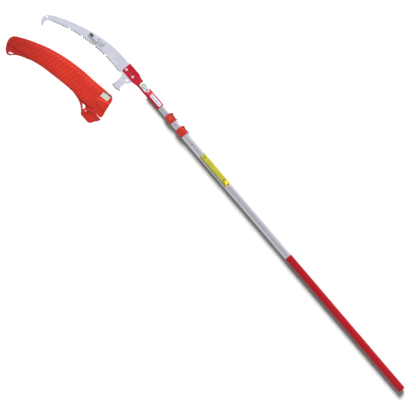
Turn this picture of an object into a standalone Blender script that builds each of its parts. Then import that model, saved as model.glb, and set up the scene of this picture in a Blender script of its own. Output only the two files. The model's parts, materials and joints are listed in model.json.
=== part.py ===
"""Telescoping pole saw: a three-section pole with lever clamps, a saw head, and the saw's sheath.

+X runs along the pole from its butt to the saw, +Y points where the teeth point, +Z is up.
The saw lies flat with its sheath beside the blade. The frame's origin is the middle of the
footprint, on the ground. All lengths are in metres; outlines are listed in millimetres.
"""

import math

import bmesh
import bpy
from mathutils import Matrix

MM = 0.001
GAP = 0.0003                     # clearance between pieces that touch
THROUGH = 0.05                   # reach of a cutter that passes right through

# Pole: oval aluminium tubes, each (width across the blade's plane, height)
TUBE_WALL = 0.0012
OUTER_SIZE = (0.0302, 0.0265)
MIDDLE_SIZE = (0.0270, 0.0216)
INNER_SIZE = (0.0234, 0.0168)
OVAL_POWER = 2.3                 # exponent of the oval: 2 is an ellipse, higher is squarer
OVAL_SIDES = 32

# Stations along the pole, measured from the butt's end face
CAP_LENGTH = 0.006
GRIP_END = 0.7175
LABEL_START, LABEL_END = 1.100, 1.263
LOWER_CLAMP_START = 1.372
UPPER_CLAMP_START = 1.443
CLAMP_LENGTH = 0.038
INNER_TUBE_END = 1.600
HEAD_START = 1.523
HEAD_END = 1.741
OUTER_STOP_AT, MIDDLE_STOP_AT, INNER_STOP_AT = 1.3235, 1.4268, 1.4858

# Grip sleeve, warning label and stickers
SLEEVE_WALL = 0.0004
SLEEVE_GAP = 0.0001
STICKER_WALL = 0.0002
STICKER_GAP = 0.0001

# Lever clamps
COLLAR_WALL = 0.0025
COLLAR_POWER = 3.0
CLAMP_LIP = 0.0025               # end stop that covers the rim of the tube
PIN_FROM_START = 0.0286
PIN_LIFT = 0.0026                # lever pin above the collar's side
PIN_RADIUS = 0.0015
EAR_RADIUS = 0.0041
EAR_INNER, EAR_OUTER = 0.0064, 0.0102
CAM_RADIUS = 0.0033
CAM_OFFSET = 0.0006
CAM_ANGLE = math.radians(125)    # where the cam's centre stands when the lever is shut
LEVER_HALF_WIDTH = 0.0061
TAIL_HALF_WIDTH = 0.0085
PAD_HALF = 0.0047
SLOT_BEHIND, SLOT_AHEAD = 0.0068, 0.0062   # the cam's slot, either side of the pin
EAR_FOOT_HALF = 0.0070
CLAMP_RIVET_AT = 0.009           # from the collar's lower end
CLAMP_RIVET_SHANK = 0.0035
LOWER_LEVER_TAIL, UPPER_LEVER_TAIL = -35.5, -34.5   # lever tips, millimetres from the pin

# Bushes and rivets
RIVET_RADIUS = 0.0016
RIVET_DOME = 0.0009
RIVET_TAIL = 0.00085
RIVET_HEAD_RADIUS = 0.0026
LOW_RIVET_HEAD = (0.0024, 0.0005)   # radius and height of an under-side rivet's head
HOLE_HALF = 0.004                # reach of a cutter for a rivet hole in one wall
BUSH_RUNNING_GAP = 0.00025       # between a bush's flange and the bore it slides in
BUSH_WALL = 0.0028
BUSH_RIVET_SHANK = 0.0034
MIDDLE_BUSH = (0.0265, 0.0765, 0.1100)   # start, shoulder and end
INNER_BUSH = (0.1105, 0.1705, 0.2000)

# Saw head and blade
HEAD_WALL = 0.0015
HEAD_OVAL = (0.0328, 0.0250)
HEAD_FLAT = (0.0442, 0.0051)
HEAD_RIVETS = (1.550, 1.584)     # rear and front, from the butt
HEAD_RIVET_SHANK = 0.0060
HEAD_SLOT_LENGTH = 0.0655
BLADE_THICKNESS = 0.0015
BOLTS_X = (-0.0496, -0.0103)     # from the head's end
BOLT_Y = 0.0062
BOLT_RADIUS = 0.0030
BOLT_DOME_RADIUS = 0.00575
BOLT_DOME_HEIGHT = 0.0034
WASHER_RADIUS, WASHER_HEIGHT = 0.0062, 0.0012
NUT_RADIUS, NUT_HEIGHT = 0.0058, 0.0050
BOLT_TAIL = 0.0080               # shank below the head's lower face
TOOTH_GROUPS = (17, 11, 11, 11, 16)
TOOTH_HEIGHT = 0.0046
GULLET_WIDTH = 0.0095
GULLET_DEPTH = 0.0080

# Sheath, heights from the ground
SHEATH_FLOOR = 0.0020
SHEATH_SPLIT = 0.0060
SHEATH_HEIGHT = 0.0120
POCKET_HEIGHT = 0.0180
LUG_HEIGHT = 0.0035
LATCH_LOW, LATCH_HIGH = 0.0038, 0.0130
LATCH_SLOT_LOW, LATCH_SLOT_HIGH = 0.0050, 0.0096
LATCH_PIVOT = (-0.0287, 0.2427)
LATCH_RIVET_HEAD = (0.0036, 0.0016)   # radius and height

LOWER_PIN_OUT = OUTER_SIZE[0] / 2 + COLLAR_WALL + PIN_LIFT
UPPER_PIN_OUT = MIDDLE_SIZE[0] / 2 + COLLAR_WALL + PIN_LIFT
AXIS_HEIGHT = OUTER_SIZE[1] / 2 + COLLAR_WALL

# Outlines in millimetres: x from the head's end, y from the pole's axis
BLADE_BACK = ((-66, -16.5), (-50, -18.6), (0, -18.9), (63, -17.0), (104, -12.4), (145, -3.9), (186, 8.8),
              (227, 24.2), (268, 41.8), (309, 62.3), (350, 87.7), (370, 106.0), (377, 123.0),
              (374, 137.0), (364, 148.0), (354, 153.5))
HOOK_INSIDE = ((349.4, 149.0), (355, 142.5), (358, 134), (357, 125), (352, 118), (345, 114.6))
TOOTH_LINE = ((5, 37.5), (80, 38.0), (150, 46.5), (212, 60.5), (272, 80.5), (342, 113.6))
CHISEL_TIP_SIDE = ((-3, 32), (-9, 31.5), (-14, 36), (-17, 46), (-18, 60), (-17.6, 77), (-15.2, 89))
CHISEL_EDGE = ((-15.2, 89), (-36, 91.5), (-58, 84.8))
CHISEL_BUTT_SIDE = ((-58, 84.8), (-51.5, 77.5), (-48, 69), (-48, 57), (-51, 47), (-58, 37), (-63, 29),
                    (-63.5, 22))
TANG_END = ((-66, 17), (-71, 12), (-73, 0), (-71, -12))
CHISEL_HOLE = (-44.0, 33.6, 4.2)   # x, y, radius
TIP_HOLE = (366.3, 113.5, 3.8)

SHEATH_BACK = ((-52, 120.6), (-19, 125.6), (42, 135.4), (92, 142), (145, 152.2), (190, 163.6), (227, 175.6),
               (268, 191.5), (309, 211.9), (350, 235), (372, 249.5), (388, 260.5), (396.5, 270),
               (400.8, 284), (398, 297), (391.5, 310), (380, 325), (367, 334.5), (359, 337.6), (350, 335),
               (343.6, 328.5), (338.7, 320.5), (329, 309.5), (309, 296.8), (288, 286), (268, 276),
               (227, 262.3), (186, 253), (145, 244.8), (104, 236.8), (63, 231.8))
SHEATH_BASE_EDGE = ((63, 231.8), (42, 233.7), (18, 238.3), (-7, 250.5), (-25, 265), (-32, 267))
SHEATH_LUG = ((-32, 267), (-44, 266), (-44, 245), (-41, 232), (-37, 222), (-45, 216.5))
SHEATH_TOP_EDGE = ((63, 231.8), (22, 229), (-12, 226), (-24, 222.5), (-34, 218.2), (-45, 216.5))
SHEATH_MOUTH = ((-45, 216.5), (-84, 217), (-90, 211), (-90.3, 201), (-84.5, 187), (-79.3, 170),
                (-73.5, 152), (-69.5, 138), (-62.5, 127), (-52, 120.6))
CAVITY_BACK = ((-100, 121.8), (-60, 121.9), (-19, 128.5), (42, 138.2), (92, 144.9), (145, 155.1),
               (190, 166.5), (227, 178.4), (268, 194.2), (309, 214.5), (350, 237.7), (372, 252.2),
               (386, 262.5), (393.5, 271.5), (397, 285), (394, 296), (382, 312))
CAVITY_EDGE = ((376, 316), (360, 314.5), (340, 306), (309, 293.8), (268, 273.2), (227, 259.5), (145, 242),
               (63, 229.2), (-12, 223.6), (-24, 220.2), (-36, 222), (-100, 222))
EYE = ((5, 232.5), (-11, 230), (-17.5, 236.5), (-16, 247))
HANG_SLOT = (351.0, 322.7, 6.3, 3.2, 33.0)   # centre x, y, half length, radius, slope in degrees
POCKET = ((-71, 150.5), (-55, 155), (-40, 160.5), (-28, 166.5), (-21.5, 175), (-24.5, 184),
          (-38, 191), (-60, 192.5), (-83, 189.5))
POCKET_CAVITY = ((-110, 151), (-71, 153), (-55, 157.5), (-40, 163), (-29, 168.5), (-24, 175.5),
                 (-27, 182.5), (-39, 188.6), (-60, 190), (-110, 187))
SHEATH_LABEL = ((-17.5, 130.5), (-52.5, 124.3), (-57, 150.5), (-21.5, 157.5))
LATCH = ((-95.5, 219.5), (-95.5, 226), (-92, 235), (-85, 246), (-80.5, 258), (-71, 266.5), (-50, 267.5),
         (-27, 267), (-18.5, 257), (-17.5, 245), (-22, 234), (-33, 225), (-48, 220.8), (-70, 219.5))
LATCH_SLOT = ((-120, 210), (-42, 210), (-44, 240), (-54, 254), (-76, 254), (-84, 240), (-86, 229),
              (-120, 229))

# name: (colour as linear red, green, blue; metallic; roughness)
FINISHES = {
    "aluminium_tube": ((0.45, 0.44, 0.46), 1.0, 0.32),
    "blade_steel": ((0.58, 0.60, 0.65), 1.0, 0.28),
    "zinc_steel": ((0.62, 0.62, 0.60), 1.0, 0.30),
    "dark_steel": ((0.03, 0.03, 0.03), 0.8, 0.45),
    "grip_vinyl": ((0.50, 0.017, 0.020), 0.0, 0.42),
    "clamp_nylon": ((0.58, 0.025, 0.020), 0.0, 0.38),
    "head_paint": ((0.45, 0.010, 0.014), 0.0, 0.25),
    "sheath_plastic": ((0.64, 0.035, 0.022), 0.0, 0.40),
    "bush_nylon": ((0.72, 0.70, 0.64), 0.0, 0.50),
    "pad_rubber": ((0.02, 0.02, 0.02), 0.0, 0.80),
    "warning_sticker": ((0.54, 0.51, 0.03), 0.0, 0.45),
    "white_sticker": ((0.78, 0.78, 0.76), 0.0, 0.45),
}


def millimetres(points):
    """Outline points turned to metres."""
    return [(x * MM, y * MM) for x, y in points]


def smooth_line(points, steps):
    """A Catmull-Rom curve through the points, with the given steps between neighbours."""
    ends = [points[0], *points, points[-1]]
    line = []
    for before, start, end, after in zip(ends, ends[1:], ends[2:], ends[3:]):
        for step in range(steps):
            t = step / steps
            line.append(tuple(
                start[k] + t / 2 * (
                    end[k] - before[k]
                    + t * (2 * before[k] - 5 * start[k] + 4 * end[k] - after[k])
                    + t * t * (3 * start[k] - before[k] - 3 * end[k] + after[k])
                )
                for k in (0, 1)
            ))
    return line + [points[-1]]


def along(line, distance):
    """The point at a distance along a line, and the unit direction there."""
    for (x0, y0), (x1, y1) in zip(line, line[1:]):
        length = math.hypot(x1 - x0, y1 - y0)
        if distance <= length:
            break
        distance -= length
    unit = ((x1 - x0) / length, (y1 - y0) / length)
    return (x0 + unit[0] * distance, y0 + unit[1] * distance), unit


def length_of(line):
    return sum(math.dist(a, b) for a, b in zip(line, line[1:]))


def ring(x, size, power=OVAL_POWER, shift=0.0):
    """Points round an oval section of the given width and height at station x."""
    points = []
    for side in range(OVAL_SIDES):
        angle = 2 * math.pi * side / OVAL_SIDES
        across, up = math.cos(angle), math.sin(angle)
        y = size[0] / 2 * math.copysign(abs(across) ** (2 / power), across)
        z = size[1] / 2 * math.copysign(abs(up) ** (2 / power), up)
        points.append((x, y + shift, z))
    return points


def grown(size, amount):
    """A section size made wider and higher by the same amount on every side."""
    return (size[0] + 2 * amount, size[1] + 2 * amount)


def loft(rings, hollow):
    """A skin over rings of points: closed on itself when hollow, capped at its ends when not."""
    bm = bmesh.new()
    verts = [bm.verts.new(point) for point in rings[0]]
    edges = [bm.edges.new(pair) for pair in zip(verts, verts[1:] + verts[:1])]
    if not hollow:
        bmesh.ops.contextual_create(bm, geom=edges)
    for points in rings[1:] + rings[:hollow]:
        made = bmesh.ops.extrude_edge_only(bm, edges=edges)["geom"]
        edges = [item for item in made if isinstance(item, bmesh.types.BMEdge)]
        fresh = {item for item in made if isinstance(item, bmesh.types.BMVert)}
        verts = [next(edge.other_vert(old) for edge in old.link_edges if edge.other_vert(old) in fresh)
                 for old in verts]
        for vert, point in zip(verts, points):
            vert.co = point
        edges = [edge for edge in edges if set(edge.verts) <= fresh]
    if hollow:
        bmesh.ops.remove_doubles(bm, verts=bm.verts, dist=1e-7)
    else:
        bmesh.ops.contextual_create(bm, geom=edges)
    bmesh.ops.recalc_face_normals(bm, faces=bm.faces)
    return bm


def tube(start, end, size, wall):
    """A straight oval tube."""
    bore = grown(size, -wall)
    return loft([ring(start, size), ring(end, size), ring(end, bore), ring(start, bore)], hollow=True)


def stepped_bush(stations, flange, stem, bore):
    """A bush with a thick flange and a thin stem, open right through."""
    start, shoulder, end = stations
    return loft([ring(start, flange), ring(shoulder, flange), ring(shoulder, stem), ring(end, stem),
                 ring(end, bore), ring(start, bore)], hollow=True)


def oval_patch(start, end, size, wall, first_angle, last_angle, steps):
    """A thin curved sheet lying on an oval from one angle to another, seen from the butt."""
    bm = bmesh.new()
    edge = []
    for thickness, order in ((wall, 1), (0.0, -1)):
        arc = []
        for step in range(steps + 1):
            angle = math.radians(first_angle + (last_angle - first_angle) * step / steps)
            across, up = math.cos(angle), math.sin(angle)
            wide, high = grown(size, thickness)
            arc.append((start, wide / 2 * math.copysign(abs(across) ** (2 / OVAL_POWER), across),
                        high / 2 * math.copysign(abs(up) ** (2 / OVAL_POWER), up)))
        edge += arc[::order]
    face = bm.faces.new([bm.verts.new(point) for point in edge])
    return raised(bm, face, (end - start, 0, 0))


def raised(bm, face, move):
    """Extrudes a face by a move and leaves a closed prism."""
    made = bmesh.ops.extrude_face_region(bm, geom=[face], use_keep_orig=True)
    verts = [item for item in made["geom"] if isinstance(item, bmesh.types.BMVert)]
    bmesh.ops.translate(bm, verts=verts, vec=move)
    bmesh.ops.recalc_face_normals(bm, faces=bm.faces)
    return bm


def plate(outline, low, high):
    """A flat outline raised from one height to another."""
    bm = bmesh.new()
    face = bm.faces.new([bm.verts.new((x, y, low)) for x, y in outline])
    return raised(bm, face, (0, 0, high - low))


def box(low, high):
    (x0, y0, z0), (x1, y1, z1) = low, high
    return plate([(x0, y0), (x1, y0), (x1, y1), (x0, y1)], z0, z1)


def rod(radius, low, high, sides=20, centre=(0.0, 0.0)):
    """An upright cylinder from one height to another."""
    bm = bmesh.new()
    middle = Matrix.Translation((centre[0], centre[1], (low + high) / 2))
    bmesh.ops.create_cone(bm, cap_ends=True, segments=sides, radius1=radius, radius2=radius,
                          depth=high - low, matrix=middle)
    return bm


def turned(profile, steps=16):
    """A profile of (radius, height) points, from axis to axis, spun about Z."""
    bm = bmesh.new()
    verts = [bm.verts.new((radius, 0, height)) for radius, height in profile]
    edges = [bm.edges.new(pair) for pair in zip(verts, verts[1:])]
    bmesh.ops.spin(bm, geom=verts + edges, cent=(0, 0, 0), axis=(0, 0, 1), angle=2 * math.pi,
                   steps=steps, use_merge=True)
    bmesh.ops.remove_doubles(bm, verts=bm.verts, dist=1e-7)
    bmesh.ops.recalc_face_normals(bm, faces=bm.faces)
    return bm


def domed_rivet(head_radius, dome, shank_radius, shank):
    """A rivet whose head stands on z = 0 and whose shank goes down."""
    curve = [(head_radius * math.cos(math.radians(a)), dome * math.sin(math.radians(a)))
             for a in (90, 60, 30, 0)]
    return turned([(0.0, dome), *curve[1:], (shank_radius, 0.0), (shank_radius, -shank), (0.0, -shank)])


def finish_of(name):
    """The material of a finish, made once."""
    if name in bpy.data.materials:
        return bpy.data.materials[name]
    colour, metallic, roughness = FINISHES[name]
    material = bpy.data.materials.new(name)
    material.use_nodes = True
    shader = material.node_tree.nodes["Principled BSDF"]
    shader.inputs["Base Color"].default_value = (*colour, 1.0)
    shader.inputs["Metallic"].default_value = metallic
    shader.inputs["Roughness"].default_value = roughness
    material.diffuse_color = (*colour, 1.0)
    return material


def add_piece(name, bm, parent, finish=None, location=(0, 0, 0), turn=(0, 0, 0)):
    """An object from a finished bmesh, smooth where its faces meet at a low angle."""
    mesh = bpy.data.meshes.new(name)
    bm.to_mesh(mesh)
    bm.free()
    mesh.shade_smooth()
    mesh.set_sharp_from_angle(angle=math.radians(35))
    if finish:
        mesh.materials.append(finish_of(finish))
    piece = bpy.data.objects.new(name, mesh)
    bpy.context.scene.collection.objects.link(piece)
    piece.parent = parent
    piece.location = location
    piece.rotation_euler = turn
    return piece


def add_empty(name, parent=None, location=(0, 0, 0)):
    empty = bpy.data.objects.new(name, None)
    bpy.context.scene.collection.objects.link(empty)
    empty.empty_display_size = 0.02
    empty.parent = parent
    empty.location = location
    return empty


def combine(piece, operation, bm, location=(0, 0, 0), turn=(0, 0, 0)):
    """Cuts a shape out of a piece, or joins it on, with a live Boolean."""
    name = f"{piece.name}_{operation.lower()}_{len(piece.modifiers)}"
    tool = add_piece(name, bm, piece.parent, location=location, turn=turn)
    tool.hide_render = True
    tool.display_type = "WIRE"
    change = piece.modifiers.new(name, "BOOLEAN")
    change.operation = operation
    change.object = tool


def cut(piece, bm, **place):
    combine(piece, "DIFFERENCE", bm, **place)


def join(piece, bm, **place):
    combine(piece, "UNION", bm, **place)


def rivet_hole(piece, x, height):
    """A hole for a rivet through the top or bottom wall of a tube."""
    cut(piece, rod(RIVET_RADIUS + GAP, -HOLE_HALF, HOLE_HALF), location=(x, 0, height))


def rivet_hole_side(piece, x, width):
    """A hole for a rivet in the +Y side of a tube or collar."""
    cut(piece, rod(RIVET_RADIUS + GAP, -HOLE_HALF, HOLE_HALF), location=(x, width / 2, 0),
        turn=(math.pi / 2, 0, 0))


def add_stop_rivet(name, section, x, size):
    """A domed rivet in the top of a tube, whose tail stops the next section's bush."""
    top = size[1] / 2
    add_piece(name, domed_rivet(RIVET_HEAD_RADIUS, RIVET_DOME, RIVET_RADIUS, TUBE_WALL + RIVET_TAIL),
              section, "dark_steel", location=(x, 0, top + GAP / 3))


def add_under_rivet(name, section, x, height, shank):
    """A low rivet that comes up from below into a bush."""
    head_radius, head_height = LOW_RIVET_HEAD
    add_piece(name, domed_rivet(head_radius, head_height, RIVET_RADIUS, shank), section, "zinc_steel",
              location=(x, 0, -height - GAP / 3), turn=(math.pi, 0, 0))


def lever_shape(tail):
    """Side outline of the lever, pin at the origin: from near the pin to the flared thumb end."""
    outer = [(1.5, -2.6), (-2.5, -2.5), (-8, -0.9), (-20, -0.1), (-28, -0.5), (tail + 2, -1.9),
             (tail, -1.7)]
    inner = [(tail, -0.2), (tail + 3, 1.2), (-28, 2.2), (-3.5, 2.2), (0, 2.4), (2.2, 1.2)]
    return millimetres(outer + inner)


def add_clamp(prefix, section, start, tube_size, core_size, pin_out, tail):
    """A collar on the end of a tube, with its lever, pin, brake pad and fixing rivet."""
    end = start + CLAMP_LENGTH
    pin_x = start + PIN_FROM_START
    collar_size = grown(tube_size, COLLAR_WALL)
    collar = add_piece(f"{prefix}_clamp_body",
                       loft([ring(start, collar_size, COLLAR_POWER), ring(end, collar_size, COLLAR_POWER)],
                            hollow=False),
                       section, "clamp_nylon")
    foot = -tube_size[0] / 2 + 0.001
    arc = [(pin_x + EAR_RADIUS * math.cos(a), -pin_out + EAR_RADIUS * math.sin(a))
           for a in (math.radians(180 + 15 * k) for k in range(13))]
    ear = [(pin_x - EAR_FOOT_HALF, foot), *arc, (pin_x + EAR_FOOT_HALF, foot)]
    for low, high in ((EAR_INNER, EAR_OUTER), (-EAR_OUTER, -EAR_INNER)):
        join(collar, plate(ear, low, high))
    slot_floor = -pin_out + CAM_RADIUS + CAM_OFFSET + GAP
    cut(collar, box((pin_x - SLOT_BEHIND, -THROUGH, -EAR_INNER), (pin_x + SLOT_AHEAD, slot_floor, EAR_INNER)))
    tube_space = grown(tube_size, GAP)
    cut(collar, loft([ring(start - 0.01, tube_space), ring(end - CLAMP_LIP, tube_space)], hollow=False))
    cut(collar, loft([ring(start - 0.01, grown(core_size, GAP)), ring(end + 0.01, grown(core_size, GAP))],
                     hollow=False))
    window = box((pin_x - PAD_HALF - GAP, -THROUGH, -PAD_HALF - GAP),
                 (pin_x + PAD_HALF + GAP, -core_size[0] / 4, PAD_HALF + GAP))
    cut(collar, window.copy())
    cut(collar, rod(PIN_RADIUS + GAP, -THROUGH, THROUGH, centre=(pin_x, -pin_out)))
    rivet_x = start + CLAMP_RIVET_AT
    rivet_hole_side(collar, rivet_x, tube_size[0])

    pivot = add_empty(f"{prefix}_lever_axis", section, (pin_x, -pin_out, 0))
    add_lever(prefix, pivot, tail)
    add_piece(f"{prefix}_lever_pin", rod(PIN_RADIUS, -EAR_OUTER - 0.0004, EAR_OUTER + 0.0004),
              section, "dark_steel", location=(pin_x, -pin_out, 0))
    add_piece(f"{prefix}_clamp_rivet", rod(RIVET_RADIUS, -CLAMP_RIVET_SHANK, 0), section, "zinc_steel",
              location=(rivet_x, tube_size[0] / 2 + COLLAR_WALL - 0.0002, 0), turn=(-math.pi / 2, 0, 0))
    cam_reach = CAM_RADIUS + CAM_OFFSET * math.sin(CAM_ANGLE)
    add_brake_pad(prefix, section, pin_x, -pin_out + cam_reach + GAP / 3, core_size)
    return window


def add_lever(prefix, pivot, tail):
    """Cam lever: a narrow arm between the ears, a wide thumb end, and an offset round cam."""
    shape = lever_shape(tail)
    arm = plate(shape, -LEVER_HALF_WIDTH, LEVER_HALF_WIDTH)
    lever = add_piece(f"{prefix}_lever", arm, pivot, "clamp_nylon")
    thumb = [point for point in shape if point[0] < -0.0081]
    thumb = [(-0.0095, -0.0008), *thumb, (-0.0095, 0.0022)]
    join(lever, plate(thumb, -TAIL_HALF_WIDTH, TAIL_HALF_WIDTH))
    centre = (CAM_OFFSET * math.cos(CAM_ANGLE), CAM_OFFSET * math.sin(CAM_ANGLE))
    cam_half = LEVER_HALF_WIDTH - 0.0001
    join(lever, rod(CAM_RADIUS, -cam_half, cam_half, sides=36, centre=centre))
    cut(lever, rod(PIN_RADIUS + GAP, -THROUGH, THROUGH))


def add_brake_pad(prefix, section, x, top, core_size):
    """Pad that the cam pushes in, hollowed to fit the tube that slides."""
    pad = add_piece(f"{prefix}_brake_pad",
                    box((x - PAD_HALF, top, -PAD_HALF), (x + PAD_HALF, -core_size[0] / 4, PAD_HALF)),
                    section, "pad_rubber")
    tube_space = grown(core_size, GAP)
    cut(pad, loft([ring(x - 0.01, tube_space), ring(x + 0.01, tube_space)], hollow=False))


def add_outer_section(section):
    """Outer tube with its grip, butt plug, label, stop rivet and the lower clamp."""
    tube_end = LOWER_CLAMP_START + CLAMP_LENGTH - CLAMP_LIP - GAP
    outer = add_piece("outer_tube", tube(CAP_LENGTH + GAP, tube_end, OUTER_SIZE, TUBE_WALL),
                      section, "aluminium_tube")
    sleeve_size = grown(OUTER_SIZE, SLEEVE_GAP + SLEEVE_WALL)
    add_piece("grip_sleeve", tube(CAP_LENGTH + GAP, GRIP_END, sleeve_size, SLEEVE_WALL),
              section, "grip_vinyl")
    stem = grown(OUTER_SIZE, -TUBE_WALL - GAP)
    add_piece("butt_plug",
              loft([ring(0, grown(sleeve_size, -0.0018)), ring(0.0006, grown(sleeve_size, -0.0007)),
                    ring(0.0020, sleeve_size), ring(CAP_LENGTH, sleeve_size), ring(CAP_LENGTH, stem),
                    ring(MIDDLE_BUSH[0] - GAP, stem)], hollow=False),
              section, "grip_vinyl")
    label_on = grown(OUTER_SIZE, STICKER_GAP)
    add_piece("warning_label", oval_patch(LABEL_START, LABEL_END, label_on, STICKER_WALL, 44, 356, 40),
              section, "warning_sticker")
    add_stop_rivet("outer_stop_rivet", section, OUTER_STOP_AT, OUTER_SIZE)
    rivet_hole(outer, OUTER_STOP_AT, OUTER_SIZE[1] / 2)
    window = add_clamp("lower", section, LOWER_CLAMP_START, OUTER_SIZE, MIDDLE_SIZE, LOWER_PIN_OUT,
                       LOWER_LEVER_TAIL)
    cut(outer, window)
    rivet_hole_side(outer, LOWER_CLAMP_START + CLAMP_RIVET_AT, OUTER_SIZE[0])


def add_guide_bush(prefix, section, stations, slides_in, carried_by):
    """Bush in a tube's lower end: its flange runs in the wider tube, its stem is riveted in this one."""
    flange = grown(slides_in, -TUBE_WALL - BUSH_RUNNING_GAP)
    stem = grown(carried_by, -TUBE_WALL - GAP)
    bush = add_piece(f"{prefix}_guide_bush",
                     stepped_bush(stations, flange, stem, grown(stem, -BUSH_WALL)), section, "bush_nylon")
    rivet_at = (stations[1] + stations[2]) / 2 + 0.003
    rivet_hole(bush, rivet_at, -stem[1] / 2)
    add_under_rivet(f"{prefix}_bush_rivet", section, rivet_at, carried_by[1] / 2, BUSH_RIVET_SHANK)
    return rivet_at


def add_middle_section(section):
    """Middle tube with its guide bush, stop rivet and the upper clamp."""
    tube_end = UPPER_CLAMP_START + CLAMP_LENGTH - CLAMP_LIP - GAP
    middle = add_piece("middle_tube", tube(MIDDLE_BUSH[1] + GAP, tube_end, MIDDLE_SIZE, TUBE_WALL),
                       section, "aluminium_tube")
    rivet_at = add_guide_bush("middle", section, MIDDLE_BUSH, OUTER_SIZE, MIDDLE_SIZE)
    rivet_hole(middle, rivet_at, -MIDDLE_SIZE[1] / 2)
    add_stop_rivet("middle_stop_rivet", section, MIDDLE_STOP_AT, MIDDLE_SIZE)
    rivet_hole(middle, MIDDLE_STOP_AT, MIDDLE_SIZE[1] / 2)
    window = add_clamp("upper", section, UPPER_CLAMP_START, MIDDLE_SIZE, INNER_SIZE, UPPER_PIN_OUT,
                       UPPER_LEVER_TAIL)
    cut(middle, window)
    rivet_hole_side(middle, UPPER_CLAMP_START + CLAMP_RIVET_AT, MIDDLE_SIZE[0])


def add_inner_section(section):
    """Inner tube with its guide bush and stop rivet, and the saw head on its upper end."""
    inner = add_piece("inner_tube", tube(INNER_BUSH[1] + GAP, INNER_TUBE_END, INNER_SIZE, TUBE_WALL),
                      section, "aluminium_tube")
    rivet_at = add_guide_bush("inner", section, INNER_BUSH, MIDDLE_SIZE, INNER_SIZE)
    rivet_hole(inner, rivet_at, -INNER_SIZE[1] / 2)
    add_stop_rivet("inner_stop_rivet", section, INNER_STOP_AT, INNER_SIZE)
    rivet_hole(inner, INNER_STOP_AT, INNER_SIZE[1] / 2)
    add_head(section, inner)
    add_blade(section)


def add_head(section, inner):
    """Socket tube: oval at its mouth, pressed flat round the blade, with a bush down to the inner tube."""
    skin = [(HEAD_START, grown(HEAD_OVAL, -0.0012), OVAL_POWER, 0.0),
            (HEAD_START + 0.0005, grown(HEAD_OVAL, -0.0005), OVAL_POWER, 0.0),
            (HEAD_START + 0.0020, HEAD_OVAL, OVAL_POWER, 0.0),
            (HEAD_END - 0.089, HEAD_OVAL, OVAL_POWER, 0.0),
            (HEAD_END - 0.080, (0.0352, 0.0205), 2.6, 0.0010),
            (HEAD_END - 0.070, (0.0402, 0.0105), 3.4, 0.0015),
            (HEAD_END - 0.062, (0.0428, 0.0060), 5.0, 0.0008),
            (HEAD_END - 0.055, HEAD_FLAT, 7.0, 0.0),
            (HEAD_END, HEAD_FLAT, 7.0, 0.0)]
    outside = [ring(x, size, power, shift) for x, size, power, shift in skin]
    inside = [ring(x, grown(size, -HEAD_WALL), power, shift) for x, size, power, shift in skin]
    head = add_piece("head_tube", loft(outside + inside[::-1], hollow=True), section, "head_paint")
    slot_half = BLADE_THICKNESS / 2 + GAP
    cut(head, box((HEAD_END - HEAD_SLOT_LENGTH, 0.012, -slot_half), (HEAD_END + 0.01, THROUGH, slot_half)))
    for x in BOLTS_X:
        cut(head, rod(BOLT_RADIUS + GAP, -THROUGH, THROUGH, centre=(HEAD_END + x, BOLT_Y)))
    bush_size = grown(HEAD_OVAL, -HEAD_WALL - GAP)
    bush_bore = grown(INNER_SIZE, GAP)
    bush_start = HEAD_START + 0.0025
    bush = add_piece("head_bush", loft([ring(bush_start, bush_size), ring(INNER_TUBE_END, bush_size),
                                        ring(INNER_TUBE_END, bush_bore), ring(bush_start, bush_bore)],
                                       hollow=True),
                     section, "bush_nylon")
    for place, x in zip(("rear", "front"), HEAD_RIVETS):
        for piece in (head, bush, inner):
            cut(piece, rod(RIVET_RADIUS + GAP, -THROUGH, 0.0), location=(x, 0, 0))
        add_under_rivet(f"head_rivet_{place}", section, x, HEAD_OVAL[1] / 2, HEAD_RIVET_SHANK)
    sticker_on = grown(HEAD_OVAL, STICKER_GAP)
    add_piece("head_sticker_round", oval_patch(1.609, 1.650, sticker_on, STICKER_WALL, 62, 176, 20),
              section, "white_sticker")
    add_piece("head_sticker_strip", oval_patch(1.527, 1.607, sticker_on, STICKER_WALL, 79, 138, 12),
              section, "white_sticker")


def tooth_edge():
    """The toothed edge from the chisel to the hook: groups of teeth with a deep gullet between groups."""
    line = smooth_line(millimetres(TOOTH_LINE), 8)
    gullets = len(TOOTH_GROUPS) - 1
    pitch = (length_of(line) - gullets * GULLET_WIDTH) / sum(TOOTH_GROUPS)
    edge = []

    def add_point(distance, depth):
        (x, y), (ux, uy) = along(line, distance)
        edge.append((x + uy * depth, y - ux * depth))

    start = 0.0
    for group, count in enumerate(TOOTH_GROUPS):
        for tooth in range(count):
            add_point(start + tooth * pitch, TOOTH_HEIGHT)
            add_point(start + (tooth + 0.5) * pitch, 0.0)
        start += count * pitch
        add_point(start, TOOTH_HEIGHT)
        if group < gullets:
            for share, depth in ((0.18, 0.85), (0.35, 1.0), (0.65, 1.0), (0.82, 0.85)):
                add_point(start + share * GULLET_WIDTH, depth * GULLET_DEPTH)
            start += GULLET_WIDTH
    return edge


def blade_outline():
    back = smooth_line(millimetres(BLADE_BACK), 4)
    hook = smooth_line(millimetres(HOOK_INSIDE), 3)
    chisel = (smooth_line(millimetres(CHISEL_TIP_SIDE), 3)[:-1]
              + smooth_line(millimetres(CHISEL_EDGE), 4)[:-1]
              + smooth_line(millimetres(CHISEL_BUTT_SIDE), 3))
    return back + hook + tooth_edge()[::-1] + chisel + smooth_line(millimetres(TANG_END), 3)


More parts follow.
